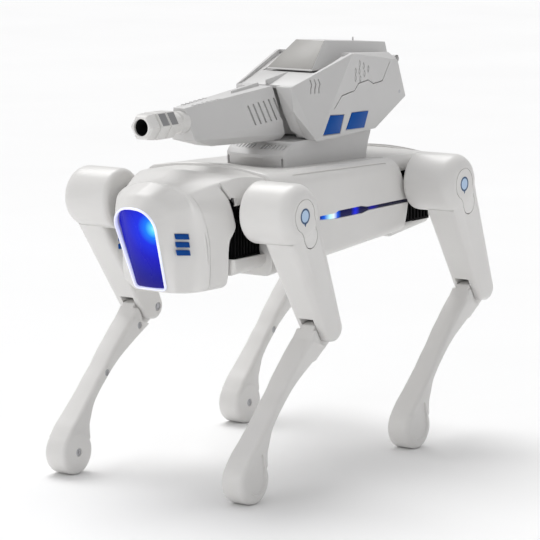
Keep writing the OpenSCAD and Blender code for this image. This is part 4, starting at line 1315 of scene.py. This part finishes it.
def make_legs():
    thigh = make_thigh()
    ring, disc = make_ring_print()
    pin = make_knee_pin()
    shank = make_shank()
    screws = make_shank_screws()
    shaft = lathe("shaft", [(0.001, 40), (3.95, 40), (3.95, 66), (0.001, 66)], (0, 0, 0), (1, 0, 0), 40)
    for leg in LEG_NAMES:
        mirrored = leg.endswith("right")
        hip = joint_point(leg + "_hip")
        shift = (0, hip.y, hip.z)
        upper, lower = leg + "_thigh_body", leg + "_shank_body"
        dress(copy_of(thigh, leg + "_thigh_skin", mirrored, shift), WHITE, upper, "white_shell",
              leg + "_thigh_outer", leg + "_thigh_inner")
        dress(copy_of(ring, leg + "_badge_ring", mirrored, shift), RING_BLUE, upper, "pale_trim", leg + "_hip_badge")
        dress(copy_of(disc, leg + "_badge_disc", mirrored, shift), PALE_BLUE, upper, "pale_trim")
        dress(copy_of(pin, leg + "_knee_pin_skin", mirrored, shift), STEEL, upper, "screw_steel", leg + "_knee_pin")
        dress(copy_of(shaft, leg + "_shaft_skin", mirrored, shift), BLACK, upper, "screw_steel", leg + "_hip_shaft")
        dress(copy_of(shank, leg + "_shank_skin", mirrored, shift), WHITE, lower, "white_shell",
              leg + "_shank_outer", leg + "_shank_inner")
        dress(copy_of(screws, leg + "_shank_screws", mirrored, shift), STEEL, lower, "screw_steel")
    for original in (thigh, ring, disc, pin, shank, screws, shaft):
        bpy.data.objects.remove(original)


# ---------- the rest of the CAD nodes ----------

def repaint_nodes():
    kept = {
        "launcher_unit": (GREY, 0.3), "main_board": (BOARD, 0), "head_led_board": (BOARD, 0),
        "battery_pack": (WRAP, 0.3), "battery_door": (WHITE, 0.3), "speaker": (SPEAKER, 0.3), "charge_socket": (BLACK, 0.2),
        "hip_gearmotors": (GREY, 0.3), "body_screws": (STEEL, 0.1), "power_switch": (BLACK, 0.3),
    }
    for node, (material, edge) in kept.items():
        repaint(node, material, edge)


# ---------- stage, light and camera ----------

LIGHT_FROM = Vector((-0.20, 0.10, 0.97))


def make_stage():
    """A plain pale floor and a soft dome that is brighter above and to the front right."""
    bpy.ops.mesh.primitive_plane_add(size=60, location=(0, 0, 0))
    floor = bpy.context.object
    floor.name = "studio_floor"
    material, tree, shader = fresh_material("studio_floor_paint")
    tone = ramp(tree, noise(tree, 3), [(0.3, (0.90, 0.90, 0.90)), (0.7, (0.92, 0.92, 0.92))])
    tree.links.new(tone, shader.inputs["Base Color"])
    shader.inputs["Roughness"].default_value = 0.9
    floor.data.materials.append(material)
    world = bpy.data.worlds.new("studio")
    world.use_nodes = True
    tree = world.node_tree
    tree.nodes.clear()
    place = tree.nodes.new("ShaderNodeTexCoord")
    facing = tree.nodes.new("ShaderNodeVectorMath")
    facing.operation = "DOT_PRODUCT"
    facing.inputs[1].default_value = LIGHT_FROM
    tree.links.new(place.outputs["Generated"], facing.inputs[0])
    spread = tree.nodes.new("ShaderNodeMapRange")
    spread.inputs["From Min"].default_value = -0.7
    spread.inputs["From Max"].default_value = 1.0
    tree.links.new(facing.outputs["Value"], spread.inputs["Value"])
    dome = ramp(tree, spread.outputs["Result"], [(0.0, (0.80, 0.80, 0.81)), (0.5, (0.86, 0.86, 0.87)),
                                                 (1.0, (1.0, 1.0, 1.0))])
    soft = tree.nodes.new("ShaderNodeBackground")
    soft.inputs["Strength"].default_value = 0.62
    tree.links.new(dome, soft.inputs["Color"])
    plain = tree.nodes.new("ShaderNodeBackground")
    plain.inputs["Strength"].default_value = 1.0
    seen = tree.nodes.new("ShaderNodeLightPath")
    mix = tree.nodes.new("ShaderNodeMixShader")
    output = tree.nodes.new("ShaderNodeOutputWorld")
    tree.links.new(seen.outputs["Is Camera Ray"], mix.inputs["Fac"])
    tree.links.new(soft.outputs["Background"], mix.inputs[1])
    tree.links.new(plain.outputs["Background"], mix.inputs[2])
    plain.inputs["Color"].default_value = (1, 1, 1, 1)
    tree.links.new(mix.outputs["Shader"], output.inputs["Surface"])
    bpy.context.scene.world = world
    bpy.context.scene.view_settings.view_transform = "Standard"


def area_light(name, place, aim, size, power, colour=(1, 1, 1)):
    data = bpy.data.lights.new(name, "AREA")
    data.shape = "DISK"
    data.size, data.energy, data.color = size, power, colour
    lamp = bpy.data.objects.new(name, data)
    lamp.location = place
    lamp.rotation_euler = (Vector(aim) - Vector(place)).to_track_quat("-Z", "Y").to_euler()
    bpy.context.scene.collection.objects.link(lamp)


def make_lights():
    sun = bpy.data.lights.new("key", "SUN")
    sun.energy, sun.angle = 1.75, math.radians(40)
    key = bpy.data.objects.new("key", sun)
    key.rotation_euler = Vector((-0.7, 0.5, 1.5)).to_track_quat("Z", "Y").to_euler()
    bpy.context.scene.collection.objects.link(key)
    area_light("front_fill", (-0.45, -1.6, 0.45), (0, 0, 0.16), 1.0, 4)


def make_camera():
    data = bpy.data.cameras.new("camera")
    data.lens = 182.27
    data.sensor_width = 36
    data.clip_start, data.clip_end = 0.05, 50
    camera = bpy.data.objects.new("camera", data)
    camera.location = (1.0171, -1.4534, 0.4084)
    camera.rotation_euler = Euler((math.radians(90 - 9.203), 0, math.radians(35.05)))
    bpy.context.scene.collection.objects.link(camera)
    bpy.context.scene.camera = camera


make_head()
make_cheek_bars()
make_face()
make_trunk()
make_side_lights()
make_saddle()
make_carriers()
make_plates()
make_shroud()
make_turret_core()
make_barrel()
make_lid()
make_pedestal()
make_turret_screws()
make_legs()
repaint_nodes()
make_stage()
make_lights()
make_camera()
